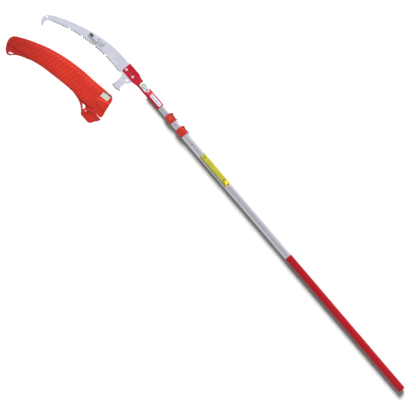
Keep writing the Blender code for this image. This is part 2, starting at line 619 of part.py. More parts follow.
def add_blade(section):
    """Saw blade with its tip hook and root chisel in one plate, and the two bolts that hold it."""
    base = (HEAD_END, 0, 0)
    half = BLADE_THICKNESS / 2
    blade = add_piece("saw_blade", plate(blade_outline(), -half, half), section, "blade_steel", location=base)
    for x, y, radius in (CHISEL_HOLE, TIP_HOLE):
        cut(blade, rod(radius * MM, -THROUGH, THROUGH, centre=(x * MM, y * MM)), location=base)
    face = HEAD_FLAT[1] / 2
    washer_top = -face - GAP / 3
    nut_top = washer_top - WASHER_HEIGHT - 2 * GAP / 3
    for place, x in zip(("rear", "front"), BOLTS_X):
        cut(blade, rod(BOLT_RADIUS + GAP, -THROUGH, THROUGH, centre=(x, BOLT_Y)), location=base)
        spot = (HEAD_END + x, BOLT_Y, 0)
        add_piece(f"blade_bolt_{place}",
                  domed_rivet(BOLT_DOME_RADIUS, BOLT_DOME_HEIGHT, BOLT_RADIUS, 2 * face + BOLT_TAIL),
                  section, "zinc_steel", location=(spot[0], spot[1], face + GAP / 3))
        washer = add_piece(f"blade_washer_{place}", rod(WASHER_RADIUS, washer_top - WASHER_HEIGHT, washer_top),
                           section, "zinc_steel", location=spot)
        nut = add_piece(f"blade_nut_{place}", rod(NUT_RADIUS, nut_top - NUT_HEIGHT, nut_top, sides=6),
                        section, "zinc_steel", location=spot)
        for ringed in (washer, nut):
            cut(ringed, rod(BOLT_RADIUS + GAP, -THROUGH, THROUGH), location=spot)


def sheath_outline(lower_edge, steps=2):
    """The sheath's outline from the mouth's top corner, round the tip and back along a lower edge."""
    outline = smooth_line(millimetres(SHEATH_BACK), steps)[:-1]
    for stretch in lower_edge:
        outline += smooth_line(millimetres(stretch), steps)[:-1]
    return outline + smooth_line(millimetres(SHEATH_MOUTH), 2)[:-1]


def cavity_outline():
    return smooth_line(millimetres(CAVITY_BACK), 2) + smooth_line(millimetres(CAVITY_EDGE), 2)


def hang_slot():
    """Round-ended slot near the sheath's tip."""
    x, y, half, radius, slope = HANG_SLOT
    points = []
    for side in (1, -1):
        for k in range(9):
            angle = math.radians(-90 + 22.5 * k)
            points.append((side * (half + radius * math.cos(angle)), side * radius * math.sin(angle)))
    turn = math.radians(slope)
    return millimetres((x + a * math.cos(turn) - b * math.sin(turn),
                        y + a * math.sin(turn) + b * math.cos(turn)) for a, b in points)


def add_sheath(sheath):
    """Scabbard in two half shells, with the keeper that closes its mouth round the chisel."""
    bottom = add_piece("sheath_bottom_shell",
                       plate(sheath_outline((SHEATH_TOP_EDGE,)), 0.0, SHEATH_SPLIT - GAP / 2),
                       sheath, "sheath_plastic")
    join(bottom, plate(sheath_outline((SHEATH_BASE_EDGE, SHEATH_LUG)), 0.0, LUG_HEIGHT))
    top = add_piece("sheath_top_shell",
                    plate(sheath_outline((SHEATH_TOP_EDGE,)), SHEATH_SPLIT + GAP / 2, SHEATH_HEIGHT),
                    sheath, "sheath_plastic")
    join(top, plate(smooth_line(millimetres(POCKET), 2), SHEATH_SPLIT + 0.001, POCKET_HEIGHT))
    for shell in (bottom, top):
        cut(shell, plate(cavity_outline(), SHEATH_FLOOR, SHEATH_HEIGHT - SHEATH_FLOOR))
        cut(shell, plate(hang_slot(), -THROUGH, THROUGH))
    cut(top, plate(smooth_line(millimetres(POCKET_CAVITY), 2), SHEATH_FLOOR, POCKET_HEIGHT - SHEATH_FLOOR))
    cut(bottom, plate(millimetres(EYE), -THROUGH, THROUGH))
    cut(bottom, rod(RIVET_RADIUS + GAP, -THROUGH, THROUGH, centre=LATCH_PIVOT))
    label_low = SHEATH_HEIGHT + STICKER_GAP
    add_piece("sheath_label", plate(millimetres(SHEATH_LABEL), label_low, label_low + STICKER_WALL),
              sheath, "white_sticker")
    add_latch(sheath)


def add_latch(sheath):
    """Keeper that turns on a rivet in the lug; its slot takes the chisel's edge."""
    pivot = add_empty("sheath_latch_axis", sheath, (*LATCH_PIVOT, 0))
    back = (-LATCH_PIVOT[0], -LATCH_PIVOT[1], 0)
    latch = add_piece("sheath_latch", plate(smooth_line(millimetres(LATCH), 2), LATCH_LOW, LATCH_HIGH),
                      pivot, "sheath_plastic", location=back)
    cut(latch, plate(millimetres(LATCH_SLOT), LATCH_SLOT_LOW, LATCH_SLOT_HIGH), location=back)
    cut(latch, rod(RIVET_RADIUS + GAP, -THROUGH, THROUGH))
    add_piece("latch_rivet", domed_rivet(*LATCH_RIVET_HEAD, RIVET_RADIUS, LATCH_HIGH - 0.0008), sheath,
              "zinc_steel", location=(*LATCH_PIVOT, LATCH_HIGH + GAP / 3))


def footprint_middle():
    """Middle of the rectangle that the saw and its sheath cover on the ground."""
    sheath = sheath_outline((SHEATH_BASE_EDGE, SHEATH_LUG))
    length = HEAD_END + max(x for x, y in sheath)
    lever_side = -LOWER_PIN_OUT - EAR_RADIUS
    sheath_side = max(y for x, y in sheath)
    return length / 2, (lever_side + sheath_side) / 2


def build():
    for old in list(bpy.data.objects):
        bpy.data.objects.remove(old, do_unlink=True)
    middle_x, middle_y = footprint_middle()
    saw = add_empty("pole_saw", location=(-middle_x, -middle_y, AXIS_HEIGHT))
    add_outer_section(add_empty("outer_section", saw))
    add_middle_section(add_empty("middle_section", saw))
    add_inner_section(add_empty("inner_section", saw))
    add_sheath(add_empty("sheath", saw, (HEAD_END, 0, -AXIS_HEIGHT)))


build()
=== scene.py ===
"""Looks of the telescoping pole saw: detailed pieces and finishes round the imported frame.

Shapes are worked out in metres from the pole's butt or from the head's end, as the parts list
gives them, and are moved to their place in the frame when they are finished.
"""

import json
import math

import bmesh
import bpy
from mathutils import Matrix, Vector

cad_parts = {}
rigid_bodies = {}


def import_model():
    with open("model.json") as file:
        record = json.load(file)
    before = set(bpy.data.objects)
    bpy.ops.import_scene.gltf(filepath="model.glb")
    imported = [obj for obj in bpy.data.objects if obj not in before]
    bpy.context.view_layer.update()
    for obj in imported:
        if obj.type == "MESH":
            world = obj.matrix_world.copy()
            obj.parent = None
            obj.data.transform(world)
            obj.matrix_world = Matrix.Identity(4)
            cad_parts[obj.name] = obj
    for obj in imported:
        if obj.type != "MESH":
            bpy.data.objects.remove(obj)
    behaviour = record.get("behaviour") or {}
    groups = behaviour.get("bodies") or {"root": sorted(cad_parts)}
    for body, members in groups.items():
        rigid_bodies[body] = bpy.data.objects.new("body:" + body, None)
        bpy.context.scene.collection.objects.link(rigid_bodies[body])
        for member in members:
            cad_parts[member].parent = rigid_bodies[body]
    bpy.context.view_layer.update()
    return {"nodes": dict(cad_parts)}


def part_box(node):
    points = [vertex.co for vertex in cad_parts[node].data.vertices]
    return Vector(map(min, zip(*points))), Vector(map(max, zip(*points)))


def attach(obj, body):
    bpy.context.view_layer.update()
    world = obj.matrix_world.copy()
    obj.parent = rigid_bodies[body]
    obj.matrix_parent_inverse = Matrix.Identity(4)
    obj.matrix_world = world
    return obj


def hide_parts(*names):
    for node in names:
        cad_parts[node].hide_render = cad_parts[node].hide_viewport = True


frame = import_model()

MM = 0.001
GAP = 0.0003                     # clearance between pieces that touch

# Places in the frame
TUBE_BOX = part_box("outer_tube")
BUTT_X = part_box("butt_plug")[0].x
AXIS_Y = (TUBE_BOX[0].y + TUBE_BOX[1].y) / 2
AXIS_Z = (TUBE_BOX[0].z + TUBE_BOX[1].z) / 2
HEAD_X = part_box("head_tube")[1].x
FROM_BUTT = Vector((BUTT_X, AXIS_Y, AXIS_Z))
FROM_HEAD = Vector((HEAD_X, AXIS_Y, AXIS_Z))
ON_GROUND = Vector((HEAD_X, AXIS_Y, 0.0))

# Pole sections: width, height; wall; how square the oval is
OUTER_SIZE = (0.0302, 0.0265)
MIDDLE_SIZE = (0.0270, 0.0216)
INNER_SIZE = (0.0234, 0.0168)
TUBE_WALL = 0.0012
OVAL_POWER = 2.3
OVAL_SIDES = 64
CAP_LENGTH = 0.006
GRIP_END = 0.7175
SLEEVE_WALL = 0.0004
STICKER_WALL = 0.0002
STICKER_GAP = 0.0001
LABEL_SPAN = (1.100, 1.263)      # where each film starts and ends, from the butt
STRIP_SPAN = (1.527, 1.607)
ROUND_SPAN = (1.609, 1.650)
MM_PER_DEGREE = 0.27             # round the head tube
LEVER_PINS = {"lower": (1.4006, 0.0202), "upper": (1.4716, 0.0186)}   # from the butt, out from the axis

# Head and blade
HEAD_WALL = 0.0015
HEAD_OVAL = (0.0328, 0.0250)
HEAD_FLAT = (0.0442, 0.0051)
HEAD_SLOT_LENGTH = 0.0655
BOLTS_X = (-0.0496, -0.0103)
BOLT_Y = 0.0062
BOLT_RADIUS = 0.0030
BLADE_THICKNESS = 0.0015
TOOTH_GROUPS = (17, 11, 11, 11, 16)
TOOTH_HEIGHT = 0.0046
GULLET_WIDTH = 0.0095
GULLET_DEPTH = 0.0080
TOOTH_BAND = 0.0110              # depth of the strip that holds the teeth
TOOTH_HEEL = 0.0086              # how far the grinding of a tooth runs into the blade
GRIND_DEPTH = 0.0012             # how far a ground tip drops through the blade's thickness
CHISEL_GRIND = 4.2               # width of the chisel's ground edge, millimetres

# Outlines in millimetres: x from the head's end, y from the pole's axis
BLADE_BACK = ((-66, -16.5), (-50, -18.6), (0, -18.9), (63, -17.0), (104, -12.4), (145, -3.9), (186, 8.8),
              (227, 24.2), (268, 41.8), (309, 62.3), (350, 87.7), (370, 106.0), (377, 123.0),
              (374, 137.0), (364, 148.0), (354, 153.5))
HOOK_INSIDE = ((349.4, 149.0), (355, 142.5), (358, 134), (357, 125), (352, 118), (345, 114.6))
TOOTH_LINE = ((5, 37.5), (80, 38.0), (150, 46.5), (212, 60.5), (272, 80.5), (342, 113.6))
CHISEL_TIP_SIDE = ((-3, 32), (-9, 31.5), (-14, 36), (-17, 46), (-18, 60), (-17.6, 77), (-15.2, 89))
CHISEL_EDGE = ((-15.2, 89), (-36, 91.5), (-58, 84.8))
CHISEL_BUTT_SIDE = ((-58, 84.8), (-51.5, 77.5), (-48, 69), (-48, 57), (-51, 47), (-58, 37), (-63, 29),
                    (-63.5, 22))
TANG_END = ((-66, 17), (-71, 12), (-73, 0), (-71, -12))
CHISEL_HOLE = (-44.0, 33.6, 4.2)   # x, y, radius
TIP_HOLE = (366.3, 113.5, 3.8)
SHEATH_BACK = ((-52, 120.6), (-19, 125.6), (42, 135.4), (92, 142), (145, 152.2), (190, 163.6), (227, 175.6),
               (268, 191.5), (309, 211.9), (350, 235), (372, 249.5), (388, 260.5))
SHEATH_TIP = ((388, 260.5), (396.5, 270), (400.8, 284), (398, 297), (391.5, 310), (380, 325), (367, 334.5),
              (359, 337.6))
SHEATH_LOWER = ((-45, 216.5), (-34, 218.2), (-24, 222.5), (-12, 226), (22, 229), (63, 231.8), (104, 236.8),
                (145, 244.8), (186, 253), (227, 262.3), (268, 276), (288, 286), (309, 296.8), (329, 309.5),
                (338.7, 320.5), (343.6, 328.5), (350, 335), (359, 337.6))
SHEATH_MOUTH = ((-52, 120.6), (-62.5, 127), (-69.5, 138), (-73.5, 152), (-79.3, 170), (-84.5, 187),
                (-90.3, 201), (-90, 211), (-84, 217), (-45, 216.5))
FLANGE_LINE = ((391, 307.5), (268, 273.5))
HANG_SLOT = (351.0, 322.7, 6.3, 3.2, 33.0)   # centre x, y, half length, radius, slope in degrees
POCKET = ((-110, 149.5), (-71, 150.5), (-55, 155), (-40, 160.5), (-28, 166.5), (-21.5, 175), (-24.5, 184),
          (-38, 191), (-60, 192.5), (-110, 189.5))
SHEATH_LABEL = ((-17.5, 130.5), (-52.5, 124.3), (-57, 150.5), (-21.5, 157.5))
LATCH = ((-95.5, 219.5), (-95.5, 226), (-92, 235), (-85, 246), (-80.5, 258), (-71, 266.5), (-50, 267.5),
         (-27, 267), (-18.5, 257), (-17.5, 245), (-22, 234), (-33, 225), (-48, 220.8), (-70, 219.5))
LATCH_SLOT = ((-120, 210), (-42, 210), (-44, 240), (-54, 254), (-76, 254), (-84, 240), (-86, 229),
              (-120, 229))
LATCH_RIDGE = ((-94.5, 222.7), (-70, 223.2), (-52, 225), (-38, 230.2), (-33, 236))
LATCH_PANEL = ((-86, 231), (-66, 229.5), (-50, 231.5), (-40, 238), (-37.5, 246), (-36, 256), (-45, 261.5),
               (-68, 260.5), (-75, 254), (-80, 244))
LATCH_PIVOT = (-0.0287, 0.2427)
LATCH_HEIGHTS = (0.0038, 0.0130)
LATCH_SLOT_HEIGHTS = (0.0050, 0.0096)
RIDGE_HALF_WIDTH = 0.0022


def linear(code):
    """A hex colour as linear red, green, blue and alpha."""
    shares = [int(code[k:k + 2], 16) / 255 for k in (0, 2, 4)]
    return (*(s / 12.92 if s <= 0.04045 else ((s + 0.055) / 1.055) ** 2.4 for s in shares), 1.0)


# ---------------------------------------------------------------- node helpers

def add(tree, kind, inputs=None, out=0, **settings):
    """Adds a node with its settings and links, and returns one of its outputs.

    An input is a value, or the socket that feeds it.
    """
    node = tree.nodes.new("ShaderNode" + kind)
    for key, value in settings.items():
        setattr(node, key, value)
    for key, value in (inputs or {}).items():
        if isinstance(value, bpy.types.NodeSocket):
            tree.links.new(value, node.inputs[key])
        else:
            node.inputs[key].default_value = value
    return node.outputs[out] if node.outputs else None


def new_finish(name):
    """A material with its node tree and its shader."""
    material = bpy.data.materials.new(name)
    material.use_nodes = True
    tree = material.node_tree
    return material, tree, tree.nodes["Principled BSDF"]


def all_of(tree, first, *others):
    """Masks or values multiplied together: masks give 1 only where every one is 1."""
    for other in others:
        first = add(tree, "Math", {0: first, 1: other}, operation="MULTIPLY")
    return first


def any_of(tree, first, *others):
    """Masks laid side by side: 1 where any of them is 1."""
    for other in others:
        first = add(tree, "Math", {0: first, 1: other}, operation="MAXIMUM")
    return first


def layered(tree, base, *layers):
    """A base colour with tones laid over it in turn, each a mask and a colour."""
    colour = linear(base) if isinstance(base, str) else base
    for mask, tone in layers:
        tone = linear(tone) if isinstance(tone, str) else tone
        colour = add(tree, "Mix", {0: mask, 6: colour, 7: tone}, out=2, data_type="RGBA")
    return colour


def grain(tree, size, stretch=(1, 1, 1), detail=3.0, seed=0.0):
    """A 0-1 noise whose grains are the given millimetres wide, stretched along the axes."""
    place = add(tree, "TexCoord", out="Object")
    scaled = add(tree, "Mapping", {"Vector": place, "Location": (seed, seed, seed),
                                   "Scale": [1 / (size * MM * s) for s in stretch]})
    return add(tree, "TexNoise", {"Vector": scaled, "Scale": 1.0, "Detail": detail, "Roughness": 0.55},
               out="Fac")


def surfaced(tree, shader, colour, texture, depth, low_rough, high_rough, rough_by=None):
    """Gives a shader its colour, a texture as relief some millimetres deep, and its roughness.

    The roughness goes from low to high with the texture, or with the mask rough_by.
    """
    share = {0: rough_by} if rough_by else {0: texture, 1: 0.3, 2: 0.7}
    rough = add(tree, "MapRange", {**share, 3: low_rough, 4: high_rough})
    relief = add(tree, "Bump", {"Height": texture, "Strength": 1.0, "Distance": depth * MM})
    for socket, value in (("Base Color", colour), ("Roughness", rough), ("Normal", relief)):
        tree.links.new(value, shader.inputs[socket])


def finish(name, low, high, mottle, fine, rough, bump, stretch=(1, 1, 1), wear=None, **sockets):
    """A finish whose colour drifts between two tones over mottle millimetres, with a fine grain.

    Where wear is a colour, it is laid on the sharp convex edges: partly edge wear, partly a painted
    highlight.
    """
    material, tree, shader = new_finish(name)
    drift = grain(tree, mottle, stretch)
    tooth = grain(tree, fine, stretch, detail=4.0, seed=3.1)
    both = add(tree, "Math", {0: drift, 1: all_of(tree, tooth, 0.35)}, operation="ADD")
    colour = layered(tree, low, (add(tree, "MapRange", {0: both, 1: 0.42, 2: 0.92}), high))
    if wear:
        # pale colour on convex edges: partly edge wear, partly a painted highlight
        edges = add(tree, "MapRange", {0: add(tree, "NewGeometry", out="Pointiness"), 1: 0.53, 2: 0.62})
        colour = layered(tree, colour, (all_of(tree, edges, 0.8), wear))
    surfaced(tree, shader, colour, tooth, bump, *rough)
    for socket, value in sockets.items():
        shader.inputs[socket.replace("_", " ")].default_value = value
    return material


def tinted(material, layers):
    """A finish with more layers of (mask, colour) laid over its own colour."""
    tree = material.node_tree
    colour = tree.nodes["Principled BSDF"].inputs["Base Color"]
    tree.links.new(layered(tree, colour.links[0].from_socket, *layers(tree)), colour)
    return material


# ---------------------------------------------------------------- shape helpers

def smooth_line(points, steps):
    """A Catmull-Rom curve through points in millimetres, in metres."""
    ends = [points[0], *points, points[-1]]
    line = []
    for before, start, end, after in zip(ends, ends[1:], ends[2:], ends[3:]):
        for step in range(steps):
            t = step / steps
            line.append(tuple(
                MM * (start[k] + t / 2 * (
                    end[k] - before[k]
                    + t * (2 * before[k] - 5 * start[k] + 4 * end[k] - after[k])
                    + t * t * (3 * start[k] - before[k] - 3 * end[k] + after[k])
                ))
                for k in (0, 1)
            ))
    return line + [(points[-1][0] * MM, points[-1][1] * MM)]


def along(line, distance):
    """The point at a distance along a line, and the unit direction there."""
    for (x0, y0), (x1, y1) in zip(line, line[1:]):
        length = math.hypot(x1 - x0, y1 - y0)
        if distance <= length:
            break
        distance -= length
    unit = ((x1 - x0) / length, (y1 - y0) / length)
    return (x0 + unit[0] * distance, y0 + unit[1] * distance), unit


def length_of(line):
    """The length of a line of points."""
    return sum(math.dist(a, b) for a, b in zip(line, line[1:]))


def distance_to(line, x, y):
    """Distance from a point to a line of points."""
    best = 1e9
    for (x0, y0), (x1, y1) in zip(line, line[1:]):
        dx, dy = x1 - x0, y1 - y0
        t = max(0.0, min(1.0, ((x - x0) * dx + (y - y0) * dy) / (dx * dx + dy * dy)))
        best = min(best, (x - x0 - t * dx) ** 2 + (y - y0 - t * dy) ** 2)
    return math.sqrt(best)


def inside(outline, x, y):
    """True where a point lies inside a closed outline."""
    found = False
    for (x0, y0), (x1, y1) in zip(outline, outline[1:] + outline[:1]):
        if (y0 > y) != (y1 > y) and x < x0 + (y - y0) * (x1 - x0) / (y1 - y0):
            found = not found
    return found


def depth_in(outline, x, y):
    """Distance from a closed outline: above zero inside it, below zero outside."""
    return distance_to(outline + outline[:1], x, y) * (1 if inside(outline, x, y) else -1)


def ease(value, low, high):
    """0 below low, 1 above high, and a smooth step between them."""
    t = max(0.0, min(1.0, (value - low) / (high - low)))
    return t * t * (3 - 2 * t)


def grown(size, amount):
    """A section's width and height, larger by an amount on every side."""
    return (size[0] + 2 * amount, size[1] + 2 * amount)


def on_oval(angle, size, power=OVAL_POWER):
    """The point at an angle on an oval section; a higher power makes it squarer."""
    return [whole / 2 * math.copysign(abs(share) ** (2 / power), share)
            for whole, share in zip(size, (math.cos(angle), math.sin(angle)))]


def oval_skin(stations, sides=OVAL_SIDES):
    """A skin of oval sections (x, size, squareness, sideways shift), extruded ring by ring.

    It closes on itself when the last station is the first one again, and is capped when not.
    """
    bm = bmesh.new()
    turn = bm.verts.layers.float.new("turn")

    def shape(verts, x, size, power=OVAL_POWER, shift=0.0):
        for vert in verts:
            across, up = on_oval(vert[turn], size, power)
            vert.co = (x, shift + across, up)

    ring = bmesh.ops.create_circle(bm, segments=sides, radius=1.0)["verts"]
    for vert in ring:
        vert[turn] = math.atan2(vert.co.y, vert.co.x)
    edges = bm.edges[:]
    shape(ring, *stations[0])
    closes = stations[0] == stations[-1]
    if not closes:
        bmesh.ops.contextual_create(bm, geom=edges)
    for station in stations[1:]:
        made = bmesh.ops.extrude_edge_only(bm, edges=edges)["geom"]
        fresh = {item for item in made if isinstance(item, bmesh.types.BMVert)}
        shape(fresh, *station)
        edges = [item for item in made
                 if isinstance(item, bmesh.types.BMEdge) and set(item.verts) <= fresh]
    if closes:
        bmesh.ops.remove_doubles(bm, verts=bm.verts, dist=1e-7)
    else:
        bmesh.ops.contextual_create(bm, geom=edges)
    bmesh.ops.recalc_face_normals(bm, faces=bm.faces)
    return bm


def rounded_tube(start, end, size, wall, lip=0.0003):
    """An oval tube whose cut ends are deburred."""
    bore = grown(size, -wall)
    trim = grown(size, -lip / 2)
    first = (start, grown(size, -lip))
    return oval_skin([first, (start + lip / 3, trim), (start + lip, size), (end - lip, size),
                      (end - lip / 3, trim), (end, grown(size, -lip)), (end, bore), (start, bore), first])


def plate(outline, low, high):
    """A flat outline in metres, raised from one height to another."""
    bm = bmesh.new()
    verts = [bm.verts.new((x, y, low)) for x, y in outline]
    edges = [bm.edges.new(pair) for pair in zip(verts, verts[1:] + verts[:1])]
    face = bmesh.ops.contextual_create(bm, geom=edges)["faces"][0]
    made = bmesh.ops.extrude_face_region(bm, geom=[face], use_keep_orig=True)["geom"]
    bmesh.ops.translate(bm, verts=[item for item in made if isinstance(item, bmesh.types.BMVert)],
                        vec=(0, 0, high - low))
    bmesh.ops.recalc_face_normals(bm, faces=bm.faces)
    return bm


def block(low, high):
    """A box between two corners."""
    (x0, y0, z0), (x1, y1, z1) = low, high
    return plate([(x0, y0), (x1, y0), (x1, y1), (x0, y1)], z0, z1)


def rod(radius, low, high, sides=32, place=(0.0, 0.0)):
    """An upright round bar between two heights."""
    bm = bmesh.new()
    bmesh.ops.create_cone(bm, cap_ends=True, segments=sides, radius1=radius, radius2=radius,
                          depth=high - low, matrix=Matrix.Translation((*place, (low + high) / 2)))
    return bm


def turned(profile, steps=32):
    """A profile of (radius, height) points, from axis to axis, spun about Z."""
    bm = bmesh.new()
    verts = [bm.verts.new((radius, 0, height)) for radius, height in profile]
    edges = [bm.edges.new(pair) for pair in zip(verts, verts[1:])]
    bmesh.ops.spin(bm, geom=verts + edges, cent=(0, 0, 0), axis=(0, 0, 1), angle=2 * math.pi,
                   steps=steps, use_merge=True)
    bmesh.ops.remove_doubles(bm, verts=bm.verts, dist=1e-7)
    bmesh.ops.recalc_face_normals(bm, faces=bm.faces)
    return bm


def combined(bm, tool, operation="DIFFERENCE"):
    """One shape cut by another, or joined to it."""
    shapes = []
    for part in (bm, tool):
        mesh = bpy.data.meshes.new("shape")
        part.to_mesh(mesh)
        part.free()
        shapes.append(bpy.data.objects.new("shape", mesh))
        bpy.context.scene.collection.objects.link(shapes[-1])
    change = shapes[0].modifiers.new("change", "BOOLEAN")
    change.operation = operation
    change.object = shapes[1]
    graph = bpy.context.evaluated_depsgraph_get()
    result = bmesh.new()
    result.from_mesh(shapes[0].evaluated_get(graph).to_mesh())
    for shape in shapes:
        mesh = shape.data
        bpy.data.objects.remove(shape)
        bpy.data.meshes.remove(mesh)
    return result


def rounded(bm, radius, segments=2, sharp=35.0):
    """Rounds the edges that meet at more than the sharp angle."""
    edges = [edge for edge in bm.edges
             if edge.is_manifold and edge.calc_face_angle() > math.radians(sharp)]
    bmesh.ops.bevel(bm, geom=edges, offset=radius, affect="EDGES", segments=segments, profile=0.5,
                    material=-1, clamp_overlap=True)
    return bm


def copy_of(node):
    """A node's shape as one merged mesh with whole flat faces."""
    bm = bmesh.new()
    bm.from_mesh(frame["nodes"][node].data)
    bmesh.ops.remove_doubles(bm, verts=bm.verts, dist=2e-6)
    bmesh.ops.dissolve_limit(bm, angle_limit=math.radians(1.0), verts=bm.verts, edges=bm.edges)
    return bm


def add_piece(name, bm, body, material, replaced, place=(0, 0, 0), sharp=35.0):
    """Finishes a piece: in place, smooth across low angles, riding its body."""
    bmesh.ops.translate(bm, verts=bm.verts, vec=place)
    mesh = bpy.data.meshes.new(name)
    bm.to_mesh(mesh)
    bm.free()
    mesh.shade_smooth()
    mesh.set_sharp_from_angle(angle=math.radians(sharp))
    mesh.materials.append(material)
    piece = bpy.data.objects.new(name, mesh)
    bpy.context.scene.collection.objects.link(piece)
    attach(piece, body)
    if replaced:
        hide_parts(replaced)
    return piece


# ---------------------------------------------------------------- finishes

def drawn_aluminium():
    """Drawn and clear-anodised aluminium tube: satin grey with fine lengthwise die lines."""
    material, tree, shader = new_finish("drawn_anodised_aluminium")
    lines = grain(tree, 0.9, stretch=(400, 1, 1), detail=4.0)
    cloud = grain(tree, 45.0, stretch=(4, 1, 1), seed=5.0)
    scuffs = grain(tree, 3.0, stretch=(1, 9, 9), detail=5.0, seed=9.0)
    colour = layered(
        tree, "C8C6CB",
        (add(tree, "MapRange", {0: cloud, 1: 0.35, 2: 0.65}), "D3D1D6"),
        (all_of(tree, add(tree, "MapRange", {0: lines, 1: 0.55, 2: 0.75}), 0.45), "ABA9B0"),
        (all_of(tree, add(tree, "MapRange", {0: scuffs, 1: 0.68, 2: 0.74}), 0.5), "F0F0F2"))
    surfaced(tree, shader, colour, lines, 0.015, 0.24, 0.34)
    shader.inputs["Metallic"].default_value = 1.0
    return material


def ground_steel():
    """Hard-chromed saw steel, ground across its length: cool bright grey, painted darker on the tilted
    bevels as a painted dark reflection.

    The tooth facets carry a ground attribute: 1 on the ground facets of alternate teeth, which are coloured
    darker still.
    """
    material, tree, shader = new_finish("hard_chromed_saw_steel")
    lines = grain(tree, 0.8, stretch=(1, 60, 60), detail=4.0)
    cloud = grain(tree, 60.0, seed=2.0)
    upright = add(tree, "SeparateXYZ", {0: add(tree, "NewGeometry", out="Normal")}, out=2)
    upright = add(tree, "Math", {0: upright}, operation="ABSOLUTE")
    flat = add(tree, "MapRange", {0: upright, 1: 0.975, 2: 0.995})
    marks = all_of(tree, printed_block(tree), flat)
    x, y = plan_axes(tree, FROM_HEAD)
    face = layered(
        tree, "EBEDF4",
        (add(tree, "MapRange", {0: cloud, 1: 0.35, 2: 0.65}), "F8F9FC"),
        (all_of(tree, add(tree, "MapRange", {0: lines, 1: 0.5, 2: 0.75}), 0.3), "D4D6E0"))
    # faces tilted from upright are painted dark, a painted dark reflection on the bevels; the chisel's bevel
    # is painted paler
    colour = layered(
        tree, "55575E",
        (add(tree, "MapRange", {0: y, 1: 70.0, 2: 80.0}), "A4A6B0"),     # the chisel's edge is brighter
        (add(tree, "MapRange", {0: x, 1: 20.0, 2: 40.0}), "55575E"),
        (flat, face),
        (add(tree, "Attribute", out="Fac", attribute_name="ground"), "34363C"),
        (marks, "5A5A60"))
    surfaced(tree, shader, colour, lines, 0.012, 0.36, 0.6, rough_by=marks)
    tree.links.new(add(tree, "MapRange", {0: marks, 3: 1.0, 4: 0.2}), shader.inputs["Metallic"])
    return material


def window(tree, value, low, high, soft):
    """1 where a value lies between two limits, with soft edges."""
    return all_of(tree, add(tree, "MapRange", {0: value, 1: low - soft, 2: low + soft}),
                  add(tree, "MapRange", {0: value, 1: high - soft, 2: high + soft, 3: 1.0, 4: 0.0}))


def patch(tree, axes, low, high, soft=0.3):
    """1 inside a rectangle, from its low corner to its high one, on a pair of axes."""
    return all_of(tree, *(window(tree, *limits, soft) for limits in zip(axes, low, high)))


def plan_axes(tree, origin, slope=0.0):
    """X and Y in millimetres from an origin, turned by a slope in degrees."""
    place = add(tree, "TexCoord", out="Object")
    moved = add(tree, "VectorMath", {0: place, 1: tuple(origin)}, operation="SUBTRACT")
    scaled = add(tree, "Mapping", {"Vector": moved, "Rotation": (0, 0, -math.radians(slope)),
                                   "Scale": (1 / MM, 1 / MM, 1 / MM)})
    return add(tree, "SeparateXYZ", {0: scaled}).node.outputs[:2]


def wrapped_axes(tree, start):
    """Millimetres along the pole from a station, and degrees round it seen from the butt."""
    place = add(tree, "TexCoord", out="Object")
    moved = add(tree, "VectorMath", {0: place, 1: (BUTT_X + start, AXIS_Y, AXIS_Z)}, operation="SUBTRACT")
    x, y, z = add(tree, "SeparateXYZ", {0: moved}).node.outputs
    angle = add(tree, "Math", {0: z, 1: y}, operation="ARCTAN2")
    full_turn = add(tree, "Math", {0: angle, 1: 2 * math.pi}, operation="FLOORED_MODULO")
    return all_of(tree, x, 1 / MM), all_of(tree, full_turn, 180 / math.pi)


def dashes(tree, axes, pitch, width, seed):
    """Rows of broken strokes that stand for small print, one row every pitch units."""
    x, y = axes
    rows = all_of(tree, y, 1 / pitch)
    row, index = (add(tree, "Math", {0: rows}, operation=part) for part in ("FRACT", "FLOOR"))
    place = add(tree, "CombineXYZ", {0: all_of(tree, x, 1 / width), 1: all_of(tree, index, 7.3), 2: seed})
    stroke = add(tree, "TexNoise", {"Vector": place, "Scale": 1.0, "Detail": 1.0}, out="Fac")
    return all_of(tree, add(tree, "MapRange", {0: stroke, 1: 0.47, 2: 0.50}),
                  window(tree, row, 0.25, 0.75, 0.08))


def printed_block(tree):
    """Plain blocks and broken strokes etched near the root of the blade."""
    axes = plan_axes(tree, FROM_HEAD)
    return any_of(
        tree,
        patch(tree, axes, (182, 16), (201, 29)),
        all_of(tree, patch(tree, axes, (150, 25), (199, 39)), 0.55),
        all_of(tree, patch(tree, axes, (124, 8), (166, 17)), dashes(tree, axes, 4.0, 3.0, 1.7)),
        all_of(tree, patch(tree, axes, (130, 17), (157, 29)), 0.4),
        patch(tree, axes, (127, 5), (131, 9)),
        patch(tree, axes, (125, 16), (129, 20)))


def shell_tint_and_painted_light(tree):
    """The sheath darker toward its tip and mouth, with painted light and shade laid on from its tone
    attribute.

    The shell carries its own tone attribute: above zero a painted highlight, below zero painted shade.
    """
    x, y = plan_axes(tree, ON_GROUND)
    toward_tip = add(tree, "MapRange", {0: x, 1: 190.0, 2: 385.0})
    toward_mouth = add(tree, "MapRange", {0: x, 1: 70.0, 2: -70.0, 4: 0.3})
    tone = add(tree, "Attribute", out="Fac", attribute_name="tone")
    # darker toward tip and mouth; a positive tone lays a painted highlight, a negative one painted shade
    return [(any_of(tree, toward_tip, toward_mouth), "AC2018"),
            (add(tree, "MapRange", {0: tone, 2: 1.0}), "F4624E"),
            (add(tree, "MapRange", {0: tone, 2: -1.0}), "860A0C")]


def clamp_strokes(tree):
    """A plain block of raised strokes, worn pale, on the upper clamp's face."""
    axes = plan_axes(tree, FROM_BUTT + Vector((1.462, -0.002, 0)))
    strokes = all_of(tree, patch(tree, axes, (-9, -7), (9, 7)), dashes(tree, axes, 4.5, 2.4, 6.0))
    return [(all_of(tree, strokes, 0.55), "E89088")]


